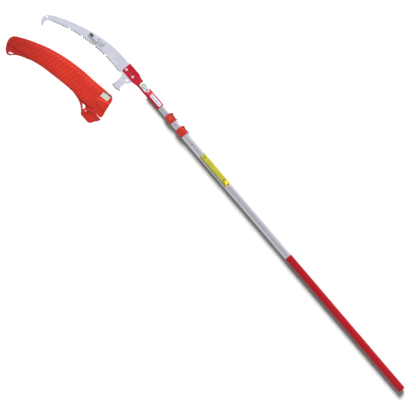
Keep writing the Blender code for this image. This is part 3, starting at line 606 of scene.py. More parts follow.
def pole_label_layers(tree):
    """Bright butt end, orange and dark marks, thin rows of strokes, a strip of painted shade along one side.
    """
    axes = wrapped_axes(tree, LABEL_SPAN[0])
    text = all_of(tree, patch(tree, axes, (34, 66), (132, 168)), dashes(tree, axes, 9.0, 2.2, 3.0))
    orange = any_of(tree, patch(tree, axes, (4, 138), (15, 166)), patch(tree, axes, (4, 58), (12, 82)))
    dark = any_of(tree, patch(tree, axes, (1, 92), (6, 130)), patch(tree, axes, (14, 60), (19, 84)))
    return [
        (patch(tree, axes, (-4, -20), (18, 400)), "F0EC30"),
        (orange, "E07820"),
        (dark, "3A3424"),
        (all_of(tree, patch(tree, axes, (24, 70), (32, 160)), 0.5), "5C5824"),
        (all_of(tree, text, 0.35), "6A6820"),
        (all_of(tree, patch(tree, axes, (144, 80), (157, 140)), 0.55), "7C7C2C"),
        # painted shade: a dark strip along the label's side away from the key
        (patch(tree, axes, (-4, 20), (170, 58)), "5A5868"),
    ]


def round_sticker_layers(tree):
    """A plain green ring with a bar across it, small strokes and a dark block beside them."""
    axes = wrapped_axes(tree, ROUND_SPAN[0])
    x, angle = axes
    centre = add(tree, "Math", {0: x, 1: 23.0}, operation="SUBTRACT")
    across = all_of(tree, add(tree, "Math", {0: angle, 1: 108.0}, operation="SUBTRACT"), MM_PER_DEGREE)
    squares = [all_of(tree, value, value) for value in (centre, across)]
    radius = add(tree, "Math", {0: add(tree, "Math", dict(enumerate(squares)), operation="ADD")},
                 operation="SQRT")
    bar = window(tree, add(tree, "Math", {0: centre, 1: across}, operation="SUBTRACT"), -2.0, 2.0, 0.6)
    text = all_of(tree, patch(tree, axes, (1, 70), (8, 150)), dashes(tree, axes, 11.0, 1.6, 5.0))
    return [
        (window(tree, radius, 7.5, 11.0, 0.5), "3F9A6C"),
        (all_of(tree, bar, window(tree, radius, -1.0, 7.0, 0.5)), "5CA884"),
        (all_of(tree, text, 0.7), "505860"),
        (all_of(tree, patch(tree, axes, (3, 82), (8, 124)), 0.85), "3C3C46"),
    ]


def strip_sticker_layers(tree):
    """A red block at one end and rows of dark strokes."""
    axes = wrapped_axes(tree, STRIP_SPAN[0])
    text = all_of(tree, patch(tree, axes, (8, 90), (56, 118)), dashes(tree, axes, 16.0, 3.0, 8.0))
    return [(patch(tree, axes, (60, 60), (76, 160)), "E04038"), (all_of(tree, text, 0.95), "5E5068")]


def sheath_label_layers(tree):
    """A dark band along the back edge with two darker blocks, and faint rows below it."""
    axes = plan_axes(tree, (HEAD_X - 0.0371, AXIS_Y + 0.1407, 0.0), 10.0)
    spots = any_of(tree, patch(tree, axes, (-17, -13), (-8, -7.5)), patch(tree, axes, (8, -13), (17, -7.5)))
    text = all_of(tree, patch(tree, axes, (-16, -5), (15, 11)), dashes(tree, axes, 4.0, 2.2, 2.0))
    return [
        (all_of(tree, patch(tree, axes, (-17.5, -13), (17.5, -7.5)), 0.9), "5E665C"),
        (spots, "262A28"),
        (all_of(tree, text, 0.35), "8C9090"),
    ]


def film(name, low, high, layers):
    """Printed vinyl film: a softly clouded base under its printed layers, with a faint gloss."""
    material, tree, shader = new_finish(name)
    cloud = add(tree, "MapRange", {0: grain(tree, 12.0), 1: 0.35, 2: 0.65})
    colour = layered(tree, low, (cloud, high), *layers(tree))
    surfaced(tree, shader, colour, grain(tree, 0.7, detail=4.0, seed=4.0), 0.01, 0.34, 0.46)
    return material


def make_finishes():
    """Every finish of the saw, by the short name that the pieces ask for."""
    nylon = {"low": "B8201A", "high": "C62A20", "mottle": 9.0, "fine": 0.9, "rough": (0.36, 0.5),
             "bump": 0.03, "wear": "D85040", "Specular_IOR_Level": 0.35}
    return {
        "aluminium": drawn_aluminium(),
        "steel": ground_steel(),
        # Bright zinc plate on pressed steel: pale, slightly blue, softly mirrored
        "zinc": finish("bright_zinc_plate", "D8DCE0", "F2F4F6", 4.0, 0.5, (0.18, 0.30), 0.01, Metallic=1.0),
        # Black oxide on small steel pins and rivets: nearly black with a dull shine
        "oxide": finish("black_oxide_steel", "141212", "2A2624", 3.0, 0.4, (0.4, 0.55), 0.01, Metallic=0.5),
        # The stop rivets are plain steel gone dull: grey brown with a satin shine
        "dull": finish("dull_steel_rivet", "6E6862", "8C867E", 3.0, 0.4, (0.4, 0.55), 0.01, Metallic=0.6),
        # Heat-shrunk PVC sleeve: even red with a soft gloss and faint lengthwise draw marks
        "vinyl": finish("shrunk_pvc_sleeve", "A60812", "B2101A", 40.0, 1.6, (0.34, 0.46), 0.03,
                        stretch=(8, 1, 1), Specular_IOR_Level=0.3),
        # Glass-filled nylon mouldings: warm red, finely mottled where the fibres show
        "nylon": finish("glass_filled_nylon", **nylon),
        "marked_nylon": tinted(finish("glass_filled_nylon_marked", **nylon), clamp_strokes),
        # Stove enamel over steel: deep red with a thin gloss and slight orange peel
        "enamel": finish("red_stove_enamel", "B4182C", "C02034", 30.0, 2.4, (0.3, 0.4), 0.02, wear="C84858",
                         Specular_IOR_Level=0.2, Coat_Weight=0.08, Coat_Roughness=0.12),
        # Injection-moulded polypropylene: orange red, slightly waxy, with flow marks
        "polypropylene": finish("moulded_polypropylene", "B4221A", "C42C20", 55.0, 0.8, (0.36, 0.5), 0.03,
                                wear="D84C3C", Specular_IOR_Level=0.35),
        # the upper shell's finish carries painted light and shade from its tone attribute
        "shell": tinted(finish("moulded_polypropylene_shell", "CC2A1A", "DA3622", 55.0, 0.8, (0.36, 0.5),
                               0.03, Specular_IOR_Level=0.35), shell_tint_and_painted_light),
        # Natural nylon bushes: milky off-white
        "natural": finish("natural_nylon", "D8D4C4", "E6E2D4", 8.0, 0.6, (0.4, 0.55), 0.02),
        # Moulded rubber pad: matt black with a fine grain
        "rubber": finish("moulded_rubber", "161616", "242424", 3.0, 0.4, (0.7, 0.85), 0.05),
        # Printed films: flat ink colours under a faint gloss
        "pole_film": film("printed_yellow_film", "BCB82C", "C6C234", pole_label_layers),
        "round_film": film("printed_white_film", "E4E6EA", "F2F3F6", round_sticker_layers),
        "strip_film": film("printed_lilac_film", "D8DCF0", "E4E6F6", strip_sticker_layers),
        "label": film("printed_grey_film", "CCCEC8", "DADCD6", sheath_label_layers),
    }


# ---------------------------------------------------------------- pole

def add_pole(looks):
    """Tubes with the windows of their brake pads, grip sleeve and butt plug."""
    tube_start = CAP_LENGTH + GAP
    pad_half = 0.0050
    for name, start, end, size, pin in (("outer", tube_start, 1.4072, OUTER_SIZE, "lower"),
                                        ("middle", 0.0768, 1.4782, MIDDLE_SIZE, "upper"),
                                        ("inner", 0.1708, 1.600, INNER_SIZE, None)):
        tube = rounded_tube(start, end, size, TUBE_WALL)
        if pin:
            x = LEVER_PINS[pin][0]
            tube = combined(tube, block((x - pad_half, -0.05, -pad_half), (x + pad_half, -0.006, pad_half)))
        add_piece(f"{name}_pole_tube", tube, f"{name}_section", looks["aluminium"],
                  f"{name}_tube", FROM_BUTT)
    sleeve_size = grown(OUTER_SIZE, STICKER_GAP + SLEEVE_WALL)
    add_piece("grip_film", rounded_tube(tube_start, GRIP_END, sleeve_size, SLEEVE_WALL, lip=0.0002),
              "outer_section", looks["vinyl"], "grip_sleeve", FROM_BUTT)
    stem = grown(OUTER_SIZE, -TUBE_WALL - GAP)
    corner = 0.0032
    nose = [(corner * (1 - math.cos(a)), grown(sleeve_size, corner * (math.sin(a) - 1)))
            for a in (math.radians(15 * k) for k in range(7))]
    add_piece("butt_end_plug",
              oval_skin(nose + [(CAP_LENGTH, sleeve_size), (CAP_LENGTH, stem), (0.0250, stem),
                                (0.0262, grown(stem, -0.0010))]),
              "outer_section", looks["vinyl"], "butt_plug", FROM_BUTT)


def wrapped_sheet(start, end, size, angles, steps, corner=0.004):
    """A thin sheet wrapped on an oval between two angles, with rounded corners."""
    bm = bmesh.new()
    grid = bmesh.ops.create_grid(bm, x_segments=steps[0], y_segments=steps[1], size=0.5)["verts"]
    first, last = (math.radians(a) for a in angles)
    reach = (end - start) / 2
    width = abs(last - first) * (size[0] + size[1]) / 4 / 2
    for vert in grid:
        along_x, round_y = vert.co.x * 2 * reach, vert.co.y * 2 * width
        over_x, over_y = abs(along_x) - (reach - corner), abs(round_y) - (width - corner)
        if over_x > 0 and over_y > 0:
            over = math.hypot(over_x, over_y)
            fit = max(over_x, over_y) / over
            along_x = math.copysign(reach - corner + over_x * fit, along_x)
            round_y = math.copysign(width - corner + over_y * fit, round_y)
        angle = (first + last) / 2 + (last - first) / 2 * round_y / width
        vert.co = ((start + end) / 2 + along_x, *on_oval(angle, size))
    bmesh.ops.recalc_face_normals(bm, faces=bm.faces)
    if sum(face.normal.dot((0, *face.calc_center_median()[1:])) for face in bm.faces) > 0:
        bmesh.ops.reverse_faces(bm, faces=bm.faces)
    # The faces now look at the tube, and the thickness grows behind them, away from it
    bmesh.ops.solidify(bm, geom=bm.faces[:], thickness=STICKER_WALL)
    return bm


def add_films(looks):
    """The warning label round the pole and the two stickers on the head tube."""
    for name, span, on, angles, steps, body, look, slot, node in (
            ("pole_label_film", LABEL_SPAN, OUTER_SIZE, (44, 356), (40, 104), "outer_section", "pole_film",
             "warning_sticker", "warning_label"),
            ("head_film_round", ROUND_SPAN, HEAD_OVAL, (66, 176), (40, 32), "inner_section", "round_film",
             "white_sticker", "head_sticker_round"),
            ("head_film_strip", STRIP_SPAN, HEAD_OVAL, (77, 130), (40, 32), "inner_section", "strip_film",
             "white_sticker", "head_sticker_strip")):
        add_piece(name, wrapped_sheet(*span, grown(on, STICKER_GAP), angles, steps), body, looks[look],
                  node, FROM_BUTT)


# ---------------------------------------------------------------- head and blade

def add_head(looks):
    """Socket tube pressed flat round the blade, with its fold creases and deburred edges."""
    skin = [(-0.218, grown(HEAD_OVAL, -0.0012), 2.3, 0.0), (-0.2175, grown(HEAD_OVAL, -0.0005), 2.3, 0.0),
            (-0.2160, HEAD_OVAL, 2.3, 0.0), (-0.150, HEAD_OVAL, 2.3, 0.0), (-0.094, HEAD_OVAL, 2.3, 0.0),
            (-0.089, (0.0329, 0.0246), 2.32, 0.0001), (-0.0845, (0.0338, 0.0230), 2.42, 0.0005),
            (-0.080, (0.0352, 0.0205), 2.6, 0.0010), (-0.075, (0.0376, 0.0153), 3.0, 0.0013),
            (-0.070, (0.0402, 0.0105), 3.4, 0.0015), (-0.066, (0.0417, 0.0078), 4.2, 0.0013),
            (-0.062, (0.0428, 0.0060), 5.0, 0.0008), (-0.0585, (0.0437, 0.0053), 6.2, 0.0003),
            (-0.055, HEAD_FLAT, 7.0, 0.0), (-0.002, HEAD_FLAT, 7.0, 0.0),
            (-0.0006, grown(HEAD_FLAT, -0.0002), 7.0, 0.0), (0.0, grown(HEAD_FLAT, -0.0006), 7.0, 0.0)]
    inner = [(x, grown(size, -HEAD_WALL + 0.0006 * (x in (-0.218, 0.0))), power, shift)
             for x, size, power, shift in skin]
    head = oval_skin(skin + inner[::-1] + skin[:1], sides=96)
    slot_half = BLADE_THICKNESS / 2 + GAP
    head = combined(head, block((-HEAD_SLOT_LENGTH, 0.012, -slot_half), (0.01, 0.05, slot_half)))
    for x in BOLTS_X:
        head = combined(head, rod(BOLT_RADIUS + GAP, -0.05, 0.05, place=(x, BOLT_Y)))
    add_piece("saw_head_socket", head, "inner_section", looks["enamel"], "head_tube",
              FROM_HEAD)


def tooth_band(bm, kind, ground):
    """Teeth in groups with a gullet between groups; returns the band's inner line and its two ends.

    Every tooth is its own facet, so that its tip can be ground to one side.
    """
    line = smooth_line(TOOTH_LINE, 8)
    gullets = len(TOOTH_GROUPS) - 1
    pitch = (length_of(line) - gullets * GULLET_WIDTH) / sum(TOOTH_GROUPS)

    def point(distance, depth, mark=0):
        (x, y), (ux, uy) = along(line, distance)
        vert = bm.verts.new((x + uy * depth, y - ux * depth, 0))
        vert[kind] = mark
        return vert

    edge = [point(0.0, TOOTH_HEIGHT)]
    band = [point(0.0, TOOTH_BAND)]
    start, teeth = 0.0, 0
    for group, count in enumerate(TOOTH_GROUPS):
        for tooth in range(count):
            tip = point(start + (tooth + 0.5) * pitch, 0.0, 1 + teeth % 2)
            root = point(start + (tooth + 1) * pitch, TOOTH_HEIGHT)
            under = point(start + (tooth + 1) * pitch, TOOTH_BAND)
            heel = point(start + (tooth + 0.5) * pitch, TOOTH_HEEL)
            for corners in ((edge[-1], tip, heel), (tip, root, heel)):
                facet = bmesh.ops.contextual_create(bm, geom=list(corners))["faces"][0]
                facet[ground] = 1.0 - teeth % 2
            for corners in ((edge[-1], heel, band[-1]), (heel, root, under), (heel, under, band[-1])):
                bmesh.ops.contextual_create(bm, geom=list(corners))
            edge += [tip, root]
            band.append(under)
            teeth += 1
        start += count * pitch
        if group < gullets:
            for share, depth in ((0.1, 0.75), (0.2, 0.9), (0.35, 1.0), (0.65, 1.0), (0.8, 0.9), (0.9, 0.75),
                                 (1.0, TOOTH_HEIGHT / GULLET_DEPTH)):
                root = point(start + share * GULLET_WIDTH, depth * GULLET_DEPTH)
                under = point(start + share * GULLET_WIDTH, TOOTH_BAND)
                bmesh.ops.contextual_create(bm, geom=[edge[-1], root, under, band[-1]])
                edge.append(root)
                band.append(under)
            start += GULLET_WIDTH
    return band, edge[0], edge[-1]


def chisel_band(bm, kind):
    """The chisel's ground edge: the outer line drops to one face of the blade."""
    outer, inner = [], []
    for x, y in smooth_line(CHISEL_EDGE, 8):
        vert = bm.verts.new((x, y, 0))
        vert[kind] = 3
        outer.append(vert)
        toward_middle = (-0.0366 - x) * 0.08
        inner.append(bm.verts.new((x + toward_middle, y - CHISEL_GRIND * MM, 0)))
    for pair in range(len(outer) - 1):
        bmesh.ops.contextual_create(bm, geom=[outer[pair], outer[pair + 1], inner[pair + 1], inner[pair]])
    return outer, inner


def add_blade(looks):
    """Saw blade with its hook and chisel: ground teeth, ground chisel edge, drilled holes."""
    bm = bmesh.new()
    kind = bm.verts.layers.int.new("kind")
    ground = bm.faces.layers.float.new("ground")
    band, first_root, last_root = tooth_band(bm, kind, ground)
    chisel_outer, chisel_inner = chisel_band(bm, kind)

    def line_of(points):
        return [bm.verts.new((x, y, 0)) for x, y in points]

    rim = line_of(smooth_line(BLADE_BACK, 5)) + line_of(smooth_line(HOOK_INSIDE, 4))
    rim += [last_root] + band[::-1] + [first_root]
    rim += line_of(smooth_line(CHISEL_TIP_SIDE, 4)[:-1])
    rim += [chisel_outer[0]] + chisel_inner + [chisel_outer[-1]]
    rim += line_of(smooth_line(CHISEL_BUTT_SIDE, 4)[1:]) + line_of(smooth_line(TANG_END, 4))
    body_edges = [bm.edges.get(pair) or bm.edges.new(pair) for pair in zip(rim, rim[1:] + rim[:1])]
    bolt_holes = [(x / MM, BOLT_Y / MM, BOLT_RADIUS / MM + 0.3) for x in BOLTS_X]
    for x, y, radius in (CHISEL_HOLE, TIP_HOLE, *bolt_holes):
        ring = bmesh.ops.create_circle(bm, segments=32, radius=radius * MM,
                                       matrix=Matrix.Translation((x * MM, y * MM, 0)))["verts"]
        body_edges += {edge for vert in ring for edge in vert.link_edges}
    bmesh.ops.triangle_fill(bm, edges=body_edges, use_beauty=True)
    made = bmesh.ops.extrude_face_region(bm, geom=bm.faces[:], use_keep_orig=True)["geom"]
    top = {item for item in made if isinstance(item, bmesh.types.BMVert)}
    bmesh.ops.translate(bm, verts=list(top), vec=(0, 0, BLADE_THICKNESS))
    for vert in bm.verts:
        if vert in top and vert[kind] in (1, 3):
            vert.co.z -= GRIND_DEPTH
        elif vert not in top and vert[kind] == 2:
            vert.co.z += GRIND_DEPTH
    bmesh.ops.translate(bm, verts=bm.verts, vec=(0, 0, -BLADE_THICKNESS / 2))
    bmesh.ops.recalc_face_normals(bm, faces=bm.faces)
    add_piece("pruning_blade", bm, "inner_section", looks["steel"], "saw_blade", FROM_HEAD,
              sharp=8.0)


def add_bolts(looks):
    """Mushroom-head bolts through the head, with washers and chamfered nuts below."""
    face = HEAD_FLAT[1] / 2
    dome = [(0.00575 * math.cos(math.radians(a)), 0.0005 + 0.0029 * math.sin(math.radians(a)))
            for a in (78, 66, 54, 42, 30, 18, 8, 0)]
    head = [(0.0, 0.0034), *dome, (0.00575, 0.0002), (0.00555, 0.0), (BOLT_RADIUS, 0.0)]
    shank = 2 * face + 0.0080
    thread = []
    depth = -2 * face - 0.0005
    while depth > -shank + 0.001:
        thread += [(BOLT_RADIUS, depth), (BOLT_RADIUS - 0.0003, depth - 0.0004)]
        depth -= 0.0008
    profile = [*head, *thread, (BOLT_RADIUS - 0.0003, -shank + 0.0004), (BOLT_RADIUS - 0.0008, -shank),
               (0.0, -shank)]
    for place, x in zip(("rear", "front"), BOLTS_X):
        spot = FROM_HEAD + Vector((x, BOLT_Y, 0))
        add_piece(f"blade_bolt_{place}_domed", turned(profile), "inner_section", looks["zinc"],
                  f"blade_bolt_{place}", spot + Vector((0, 0, face + GAP / 3)))
        for node, slope in ((f"blade_washer_{place}", 0.00015), (f"blade_nut_{place}", 0.0005)):
            add_piece(f"{node}_chamfered", rounded(copy_of(node), slope), "inner_section", looks["zinc"],
                      node)


def add_lever_pins(looks):
    """Blackened lever pins with a low domed head on each ear."""
    ear, head_radius, pin_radius = 0.0102 + GAP / 2, 0.0029, 0.0015
    half = [(pin_radius, 0.0), (pin_radius, ear), (head_radius - 0.0002, ear), (head_radius, ear + 0.0002),
            (head_radius, ear + 0.0007), (head_radius - 0.0004, ear + 0.0011), (0.0016, ear + 0.0014),
            (0.0, ear + 0.0015)]
    profile = [(radius, -height) for radius, height in half[:0:-1]] + half[1:]
    for lever, body in (("lower", "outer_section"), ("upper", "middle_section")):
        x, out = LEVER_PINS[lever]
        add_piece(f"{lever}_lever_pin_headed", turned(profile), body, looks["oxide"],
                  f"{lever}_lever_pin", FROM_BUTT + Vector((x, -out, 0)))


# ---------------------------------------------------------------- sheath

# Heights and widths in millimetres
PARTING_HEIGHT = 6.15            # where the two shells meet
SHELL_HEIGHT = 11.3              # beside the rim
SHELL_CROWN = 1.5                # how much higher the middle is
SHELL_WALL = 2.2
FLANGE_DROP = 4.2                # step down to the flange beside the tip's hang slot
LABEL_HEIGHT = 12.0              # flat pad under the label
POCKET_LIFT = 5.2                # room for the bolt heads and nuts
RIM_WIDTH, RIM_DROP = 4.5, 3.4   # the rounding of the outer edge
RIB_START = 330.0                # the rib nearest the tip
RIB_PITCH, RIB_GROWTH = 16.5, 0.055   # the ribs stand a little wider toward the mouth
RIB_SLANT = 0.117                # the ribs lean this much toward the tip as they go down
RIB_COUNT = 21
RIB_HEIGHT = 1.45
RIB_HALF_WIDTH = 7.6
RIB_FLANK = 2.3                  # width of a rib's sloping side


def rib_height(x, y, from_back, from_lower, from_flange):
    """Height of the flat-topped cross ribs at a point in millimetres, and the strength of a painted
    highlight at the rib's upper end.
    """
    lean = x - RIB_SLANT * y
    offset = min(abs(lean - (RIB_START - RIB_PITCH * k - RIB_GROWTH * k * k)) for k in range(RIB_COUNT))
    shape = ease(RIB_HALF_WIDTH - offset, 0.0, RIB_FLANK)
    start = 8.0 + 8.5 * (390 - x) / 400
    roundness = 4.0 * (offset / RIB_HALF_WIDTH) ** 2
    ends = (ease(from_back, start - 0.6 + roundness, start + 1.8 + roundness)
            * ease(from_lower, 7.5 + roundness, 10.5 + roundness)
            * ease(from_flange, 6.0 + roundness, 9.0 + roundness))
    if x < 78:                   # here the ribs stop short of a plain strip along the middle
        ends *= max(ease(y, 176, 171), ease(y, 191, 196))
    # a painted highlight on each rib's upper end
    rib_end_highlight = (1 - ease(abs(from_back - start - 1.4), 0.6, 2.2)) * ease(RIB_HALF_WIDTH - offset, 2.5, 4.5)
    return RIB_HEIGHT * shape * ends, rib_end_highlight * (1.0 if x > -25 else 0.0)


def top_height(x, y, lines):
    """Outside and inside heights of the upper shell at a point in millimetres, and its tone there: painted
    light and shade.
    """
    back, lower, tip, pocket, flange, label = lines
    from_back, from_lower, from_tip = (distance_to(line, x, y) for line in (back, lower, tip))
    edge = min(from_back, from_lower, from_tip)
    (x0, y0), (x1, y1) = flange
    length = math.hypot(x1 - x0, y1 - y0)
    over = ((x0 - x) * (y1 - y0) - (y0 - y) * (x1 - x0)) / length   # positive above the flange line
    smooth = SHELL_HEIGHT + SHELL_CROWN * ease(edge, 0.0, 30.0)
    by_flange = ease(x, 262, 285)
    smooth -= FLANGE_DROP * ease(over, 0.6, -1.4) * by_flange
    smooth += (LABEL_HEIGHT - smooth) * ease(depth_in(label, x, y), -4.0, -0.8)
    rim = min(edge, RIM_WIDTH) / RIM_WIDTH
    outside = smooth - RIM_DROP * (1 - math.sqrt(1 - (1 - rim) ** 2))
    groove = math.exp(-((from_lower - 5.4) / 0.9) ** 2) * ease(x, 285, 262) * ease(x, -30, -18)
    outside -= 0.9 * groove
    in_pocket = depth_in(pocket, x, y)
    lift = ease(in_pocket, -1.0, 3.6)
    outside += POCKET_LIFT * lift
    # Tone, all painted light and shade: paler along the back on the key's side, darker toward the lower
    # edge, painted shade in the grooves, the flange step, the rims and under the pocket
    across = from_back / (from_back + from_lower + 0.01)
    tone = 0.12 * (1 - ease(across, 0.08, 0.34)) * ease(x, 370, 250) - 0.12 * ease(across, 0.62, 0.98)
    tone -= 0.5 * math.exp(-((over + 0.6) / 1.3) ** 2) * by_flange + 0.35 * groove
    tone -= 0.55 * (1 - ease(from_lower, 0.8, 3.4)) + 0.5 * (1 - ease(from_tip, 0.8, 3.2))
    tone -= 0.5 * math.exp(-((in_pocket - 0.6) / 1.5) ** 2) * ease(y, 178, 186)
    # a painted highlight along the pocket's upper edge
    tone += 0.75 * math.exp(-((in_pocket - 2.0) / 1.5) ** 2) * ease(y, 178, 168) * ease(x, -18, -34)
    if lift < 0.02:
        rib, rib_end_highlight = rib_height(x, y, from_back, from_lower, over if x > 255 else 99.0)
        outside += rib
        tone += 0.27 * rib_end_highlight
    inner = max(smooth - SHELL_WALL + POCKET_LIFT * ease(in_pocket, 1.0, 5.2), PARTING_HEIGHT)
    return outside, min(inner, outside - 1.0), tone


def add_sheath_top(looks):
    """Upper shell: crowned, ribbed, with a rounded rim, a stepped flange and the raised pocket."""
    back, lower, tip, mouth, pocket = (
        [(x / MM, y / MM) for x, y in smooth_line(outline, steps)]
        for outline, steps in ((SHEATH_BACK, 6), (SHEATH_LOWER, 6), (SHEATH_TIP, 5), (SHEATH_MOUTH, 5),
                               (POCKET, 5)))
    lines = (back, lower, tip, pocket, FLANGE_LINE, list(SHEATH_LABEL))

    def stations(length, near_start, near_end, first_step):
        """Distances along a side: fine near the ends, then even steps."""
        marks = list(near_start)
        finish_at = length - near_end[-1]
        while marks[-1] < finish_at:
            marks.append(marks[-1] + (first_step if marks[-1] < 110 else 1.5))
        scale = finish_at / marks[-1]
        marks = [m if m in near_start else m * scale for m in marks]
        return marks + [length - n for n in near_end[::-1][1:]]

    rim = (0.0, 0.3, 0.9, 1.8, 2.6, 2.8, 3.8, 5.0)   # fine rows over the rounded edge and the wall
    columns = stations(length_of(back), (0.0, 1.0), rim, 1.3)
    across = 100.0
    rows = stations(across, rim, rim, 1.5)
    shares = [c / columns[-1] for c in columns]

    def at(line, share):
        return along(line, share * length_of(line))[0]

    a, b, c, d = back[0], back[-1], lower[0], lower[-1]
    bm = bmesh.new()
    inner_z = bm.verts.layers.float.new("inner_z")
    # tone holds painted light and shade for the shell's finish
    tone = bm.verts.layers.float.new("tone")
    grid = bmesh.ops.create_grid(bm, x_segments=len(columns) - 1, y_segments=len(rows) - 1,
                                 size=0.5)["verts"]
    sides = {u: (at(back, u), at(lower, u)) for u in shares}
    ends = {}
    for vert in grid:
        column = round((vert.co.x + 0.5) * (len(columns) - 1))
        row = round((vert.co.y + 0.5) * (len(rows) - 1))
        u = shares[column]
        near, far = sides[u]
        width = math.dist(near, far)
        mark = rows[row]
        if mark > across / 2:
            v = 1 - (across - mark) / width if across - mark <= rim[-1] else None
        else:
            v = mark / width if mark <= rim[-1] else None
        if v is None:
            inner_share = (mark - rim[-1]) / (across - 2 * rim[-1])
            v = (rim[-1] + inner_share * (width - 2 * rim[-1])) / width
        key = round(v, 6)
        if key not in ends:
            ends[key] = (at(mouth, v), at(tip, v))
        left, right = ends[key]
        x, y = (                 # the four sides blended across the sheath
            (1 - v) * near[k] + v * far[k] + (1 - u) * left[k] + u * right[k]
            - (1 - u) * (1 - v) * a[k] - u * (1 - v) * b[k] - (1 - u) * v * c[k] - u * v * d[k]
            for k in (0, 1)
        )
        outside, inner, vert[tone] = top_height(x, y, lines)
        walled = min(distance_to(line, x, y) for line in (back, lower, tip)) < 2.7
        vert.co = (x * MM, y * MM, outside * MM)
        vert[inner_z] = (PARTING_HEIGHT if walled else inner) * MM
    made = bmesh.ops.extrude_face_region(bm, geom=bm.faces[:], use_keep_orig=True)["geom"]
    for item in made:
        if isinstance(item, bmesh.types.BMVert):
            item.co.z = item[inner_z]
    bmesh.ops.recalc_face_normals(bm, faces=bm.faces)
    bm = combined(bm, hang_slot_cutter())
    add_piece("sheath_ribbed_shell", bm, "sheath", looks["shell"],
              "sheath_top_shell", ON_GROUND, sharp=50.0)


def hang_slot_cutter():
    """A bar with round ends that cuts the hang slot."""
    x, y, half, radius, slope = HANG_SLOT
    points = []
    for side in (1, -1):
        for k in range(9):
            angle = math.radians(-90 + 22.5 * k)
            points.append((MM * side * (half + radius * math.cos(angle)),
                           MM * side * radius * math.sin(angle)))
    bm = plate(points, -0.05, 0.05)
    bmesh.ops.rotate(bm, verts=bm.verts, cent=(0, 0, 0),
                     matrix=Matrix.Rotation(math.radians(slope), 3, "Z"))
    bmesh.ops.translate(bm, verts=bm.verts, vec=(x * MM, y * MM, 0))
    return bm


def add_latch(looks):
    """Keeper moulding: slotted for the blade, with a ridge along its upper edge and a sunk panel."""
    low, high = LATCH_HEIGHTS
    bm = plate(smooth_line((*LATCH, LATCH[0]), 4)[:-1], low, high)
    line = smooth_line(LATCH_RIDGE, 5)
    marks = [along(line, length_of(line) * k / 24 + 1e-9) for k in range(25)]
    left, right = ([(x - uy * half, y + ux * half) for (x, y), (ux, uy) in marks]
                   for half in (RIDGE_HALF_WIDTH, -RIDGE_HALF_WIDTH))
    bm = combined(bm, plate(left + right[::-1], high - 0.001, high + 0.0018), "UNION")
    bm = combined(bm, plate(smooth_line((*LATCH_PANEL, LATCH_PANEL[0]), 4)[:-1], high - 0.0014, high + 0.01))
    bm = combined(bm, plate([(x * MM, y * MM) for x, y in LATCH_SLOT], *LATCH_SLOT_HEIGHTS))
    bm = combined(bm, rod(0.0019, -0.05, 0.05, place=LATCH_PIVOT))
    bmesh.ops.dissolve_limit(bm, angle_limit=math.radians(1.0), verts=bm.verts, edges=bm.edges)
    add_piece("sheath_keeper", rounded(bm, 0.0006), "sheath_latch", looks["polypropylene"],
              "sheath_latch", ON_GROUND)


# ---------------------------------------------------------------- everything else

SOFTENED = (
    # node, body, finish, slot, edge radius in metres
    ("lower_clamp_body", "outer_section", "nylon", "clamp_nylon", 0.0006),
    ("upper_clamp_body", "middle_section", "marked_nylon", "clamp_nylon", 0.0006),
    ("lower_lever", "lower_lever", "nylon", "clamp_nylon", 0.0005),
    ("upper_lever", "upper_lever", "nylon", "clamp_nylon", 0.0005),
    ("sheath_bottom_shell", "sheath", "polypropylene", "sheath_plastic", 0.0009),
    ("sheath_label", "sheath", "label", "white_sticker", 0.0),
    ("latch_rivet", "sheath", "zinc", "zinc_steel", 0.0),
    ("outer_stop_rivet", "outer_section", "dull", "dark_steel", 0.0),
    ("middle_stop_rivet", "middle_section", "dull", "dark_steel", 0.0),
    ("inner_stop_rivet", "inner_section", "oxide", "dark_steel", 0.0),
    ("lower_clamp_rivet", "outer_section", "zinc", "zinc_steel", 0.0002),
    ("upper_clamp_rivet", "middle_section", "zinc", "zinc_steel", 0.0002),
)

KEPT_NODES = {
    "middle_guide_bush": "natural", "inner_guide_bush": "natural", "head_bush": "natural",
    "lower_brake_pad": "rubber", "upper_brake_pad": "rubber", "middle_bush_rivet": "zinc",
    "inner_bush_rivet": "zinc", "head_rivet_rear": "zinc", "head_rivet_front": "zinc",
}


def add_small_pieces(looks):
    """Copies of the plain moulded and pressed nodes with softened edges, and finishes for the rest."""
    for node, body, look, slot, radius in SOFTENED:
        bm = copy_of(node)
        if radius:
            rounded(bm, radius)
        add_piece(f"{node}_finished", bm, body, looks[look], node)
    for node, look in KEPT_NODES.items():
        for holder in frame["nodes"][node].material_slots:
            holder.material = looks[look]


# ---------------------------------------------------------------- studio

def add_floor():
    """A plain sheet of white paper under the saw."""
    bm = bmesh.new()
    bmesh.ops.create_grid(bm, x_segments=8, y_segments=8, size=40.0)
    bmesh.ops.translate(bm, verts=bm.verts, vec=(0, 0, -0.0003))
    mesh = bpy.data.meshes.new("studio_floor")
    bm.to_mesh(mesh)
    bm.free()
    material, tree, shader = new_finish("white_paper_sweep")
    cloud = grain(tree, 300.0)
    tree.links.new(layered(tree, "BBBBBB", (cloud, "BEBEBE")), shader.inputs["Base Color"])
    shader.inputs["Roughness"].default_value = 1.0
    shader.inputs["Specular IOR Level"].default_value = 0.0
    mesh.materials.append(material)
    floor = bpy.data.objects.new("studio_floor", mesh)
    bpy.context.scene.collection.objects.link(floor)
    return floor


KEY_AZIMUTH = (0.760, -0.649)    # the key stands over the picture's upper edge
KEY_ELEVATION, KEY_STRENGTH, KEY_SPREAD = 50.0, 2.6, 24.0
SHADOW_ELEVATION, SHADOW_STRENGTH, SHADOW_SPREAD = 37.5, 9.3, 27.0
FILL = 0.40                      # even light on every surface
BACKDROP = 1.0                   # what the camera sees past the paper
SIDE_TILT = 0.25                 # how much brighter reflections are on the key's side
# Pieces that leave no shadow on the paper, with all the blade's bolts, washers and nuts
UNSHADOWED = ("saw_head_socket", "head_film_round", "head_film_strip", "pruning_blade",
              "sheath_ribbed_shell", "sheath_bottom_shell_finished", "sheath_label_finished",
              "sheath_keeper", "latch_rivet_finished", "head_bush", "head_rivet_rear", "head_rivet_front")


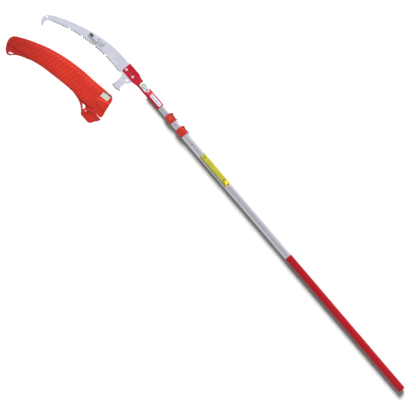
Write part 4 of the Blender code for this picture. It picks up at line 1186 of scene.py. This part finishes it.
def add_sun(name, elevation, strength, spread):
    """A distant lamp on the key's side, unseen in reflections; its spread is in degrees."""
    lamp = bpy.data.lights.new(name, "SUN")
    lamp.energy = strength
    lamp.angle = math.radians(spread)
    sun = bpy.data.objects.new(name, lamp)
    bpy.context.scene.collection.objects.link(sun)
    rise = math.radians(elevation)
    toward = Vector((KEY_AZIMUTH[0] * math.cos(rise), KEY_AZIMUTH[1] * math.cos(rise), math.sin(rise)))
    sun.rotation_euler = toward.to_track_quat("Z", "Y").to_euler()
    sun.visible_glossy = False
    return sun


def group_of(name, members, state):
    """A collection of light links, each with the same state."""
    group = bpy.data.collections.new(name)
    for member in members:
        group.objects.link(member)
    for link in group.collection_objects:
        link.light_linking.link_state = state
    return group


def add_lights(floor):
    """A soft key on the product, one on the paper alone that only the pole shades, and an even fill."""
    key = add_sun("key", KEY_ELEVATION, KEY_STRENGTH, KEY_SPREAD)
    key.light_linking.receiver_collection = group_of("not_paper", [floor], "EXCLUDE")
    paper_key = add_sun("paper_key", SHADOW_ELEVATION, SHADOW_STRENGTH, SHADOW_SPREAD)
    paper_key.light_linking.receiver_collection = group_of("paper", [floor], "INCLUDE")
    see_through = [piece for piece in bpy.data.objects
                   if piece.name in UNSHADOWED or piece.name.startswith("blade_")]
    paper_key.light_linking.blocker_collection = group_of("no_shadow", see_through, "EXCLUDE")

    world = bpy.data.worlds.new("studio")
    bpy.context.scene.world = world
    world.use_nodes = True
    tree = world.node_tree
    tree.nodes.clear()
    direction = add(tree, "TexCoord", out="Generated")
    ramp = add(tree, "ValToRGB", {0: add(tree, "SeparateXYZ", {0: direction}, out=2)})
    stops = ramp.node.color_ramp.elements
    stops[1].position = 0.96
    stops.new(0.55)
    for stop, colour in zip(stops, ((1.15, 1.15, 1.16), (0.90, 0.90, 0.94), (0.70, 0.70, 0.77))):
        stop.color = (*colour, 1.0)
    facing = add(tree, "VectorMath", {0: direction, 1: (*KEY_AZIMUTH, 0.0)}, out="Value",
                 operation="DOT_PRODUCT")
    tilt = add(tree, "MapRange", {0: facing, 1: -1.0, 2: 1.0, 3: 1 - SIDE_TILT, 4: 1 + SIDE_TILT})
    glossy = add(tree, "Background", {"Color": ramp, "Strength": tilt})
    fill, backdrop = (add(tree, "Background", {"Color": (1.0, 1.0, 1.0, 1.0), "Strength": strength})
                      for strength in (FILL, BACKDROP))
    seen = add(tree, "MixShader", {0: add(tree, "LightPath", out="Is Camera Ray"), 1: fill, 2: backdrop})
    both = add(tree, "MixShader", {0: add(tree, "LightPath", out="Is Glossy Ray"), 1: seen, 2: glossy})
    add(tree, "OutputWorld", {0: both})


VIEW_CENTRE = (BUTT_X + 1.0830, AXIS_Y + 0.12005)
VIEW_WIDTH = 1.7056              # metres across, at the height of the pole's axis
LENS, SENSOR = 250.0, 36.0


def add_camera():
    """A long lens straight above the saw, turned so that the key's side is up."""
    data = bpy.data.cameras.new("camera")
    data.lens = LENS
    data.sensor_width = SENSOR
    data.clip_end = 100.0
    camera = bpy.data.objects.new("camera", data)
    bpy.context.scene.collection.objects.link(camera)
    camera.location = (*VIEW_CENTRE, AXIS_Z + VIEW_WIDTH * LENS / SENSOR)
    right, up = Vector((-KEY_AZIMUTH[1], KEY_AZIMUTH[0], 0)) * -1, Vector((*KEY_AZIMUTH, 0))
    camera.rotation_euler = Matrix((right, up, right.cross(up))).transposed().to_euler()
    bpy.context.scene.camera = camera


bpy.context.scene.view_settings.view_transform = "Standard"
add_camera()
floor = add_floor()
looks = make_finishes()
add_pole(looks)
add_films(looks)
add_head(looks)
add_blade(looks)
add_bolts(looks)
add_lever_pins(looks)
add_sheath_top(looks)
add_latch(looks)
add_small_pieces(looks)
add_lights(floor)
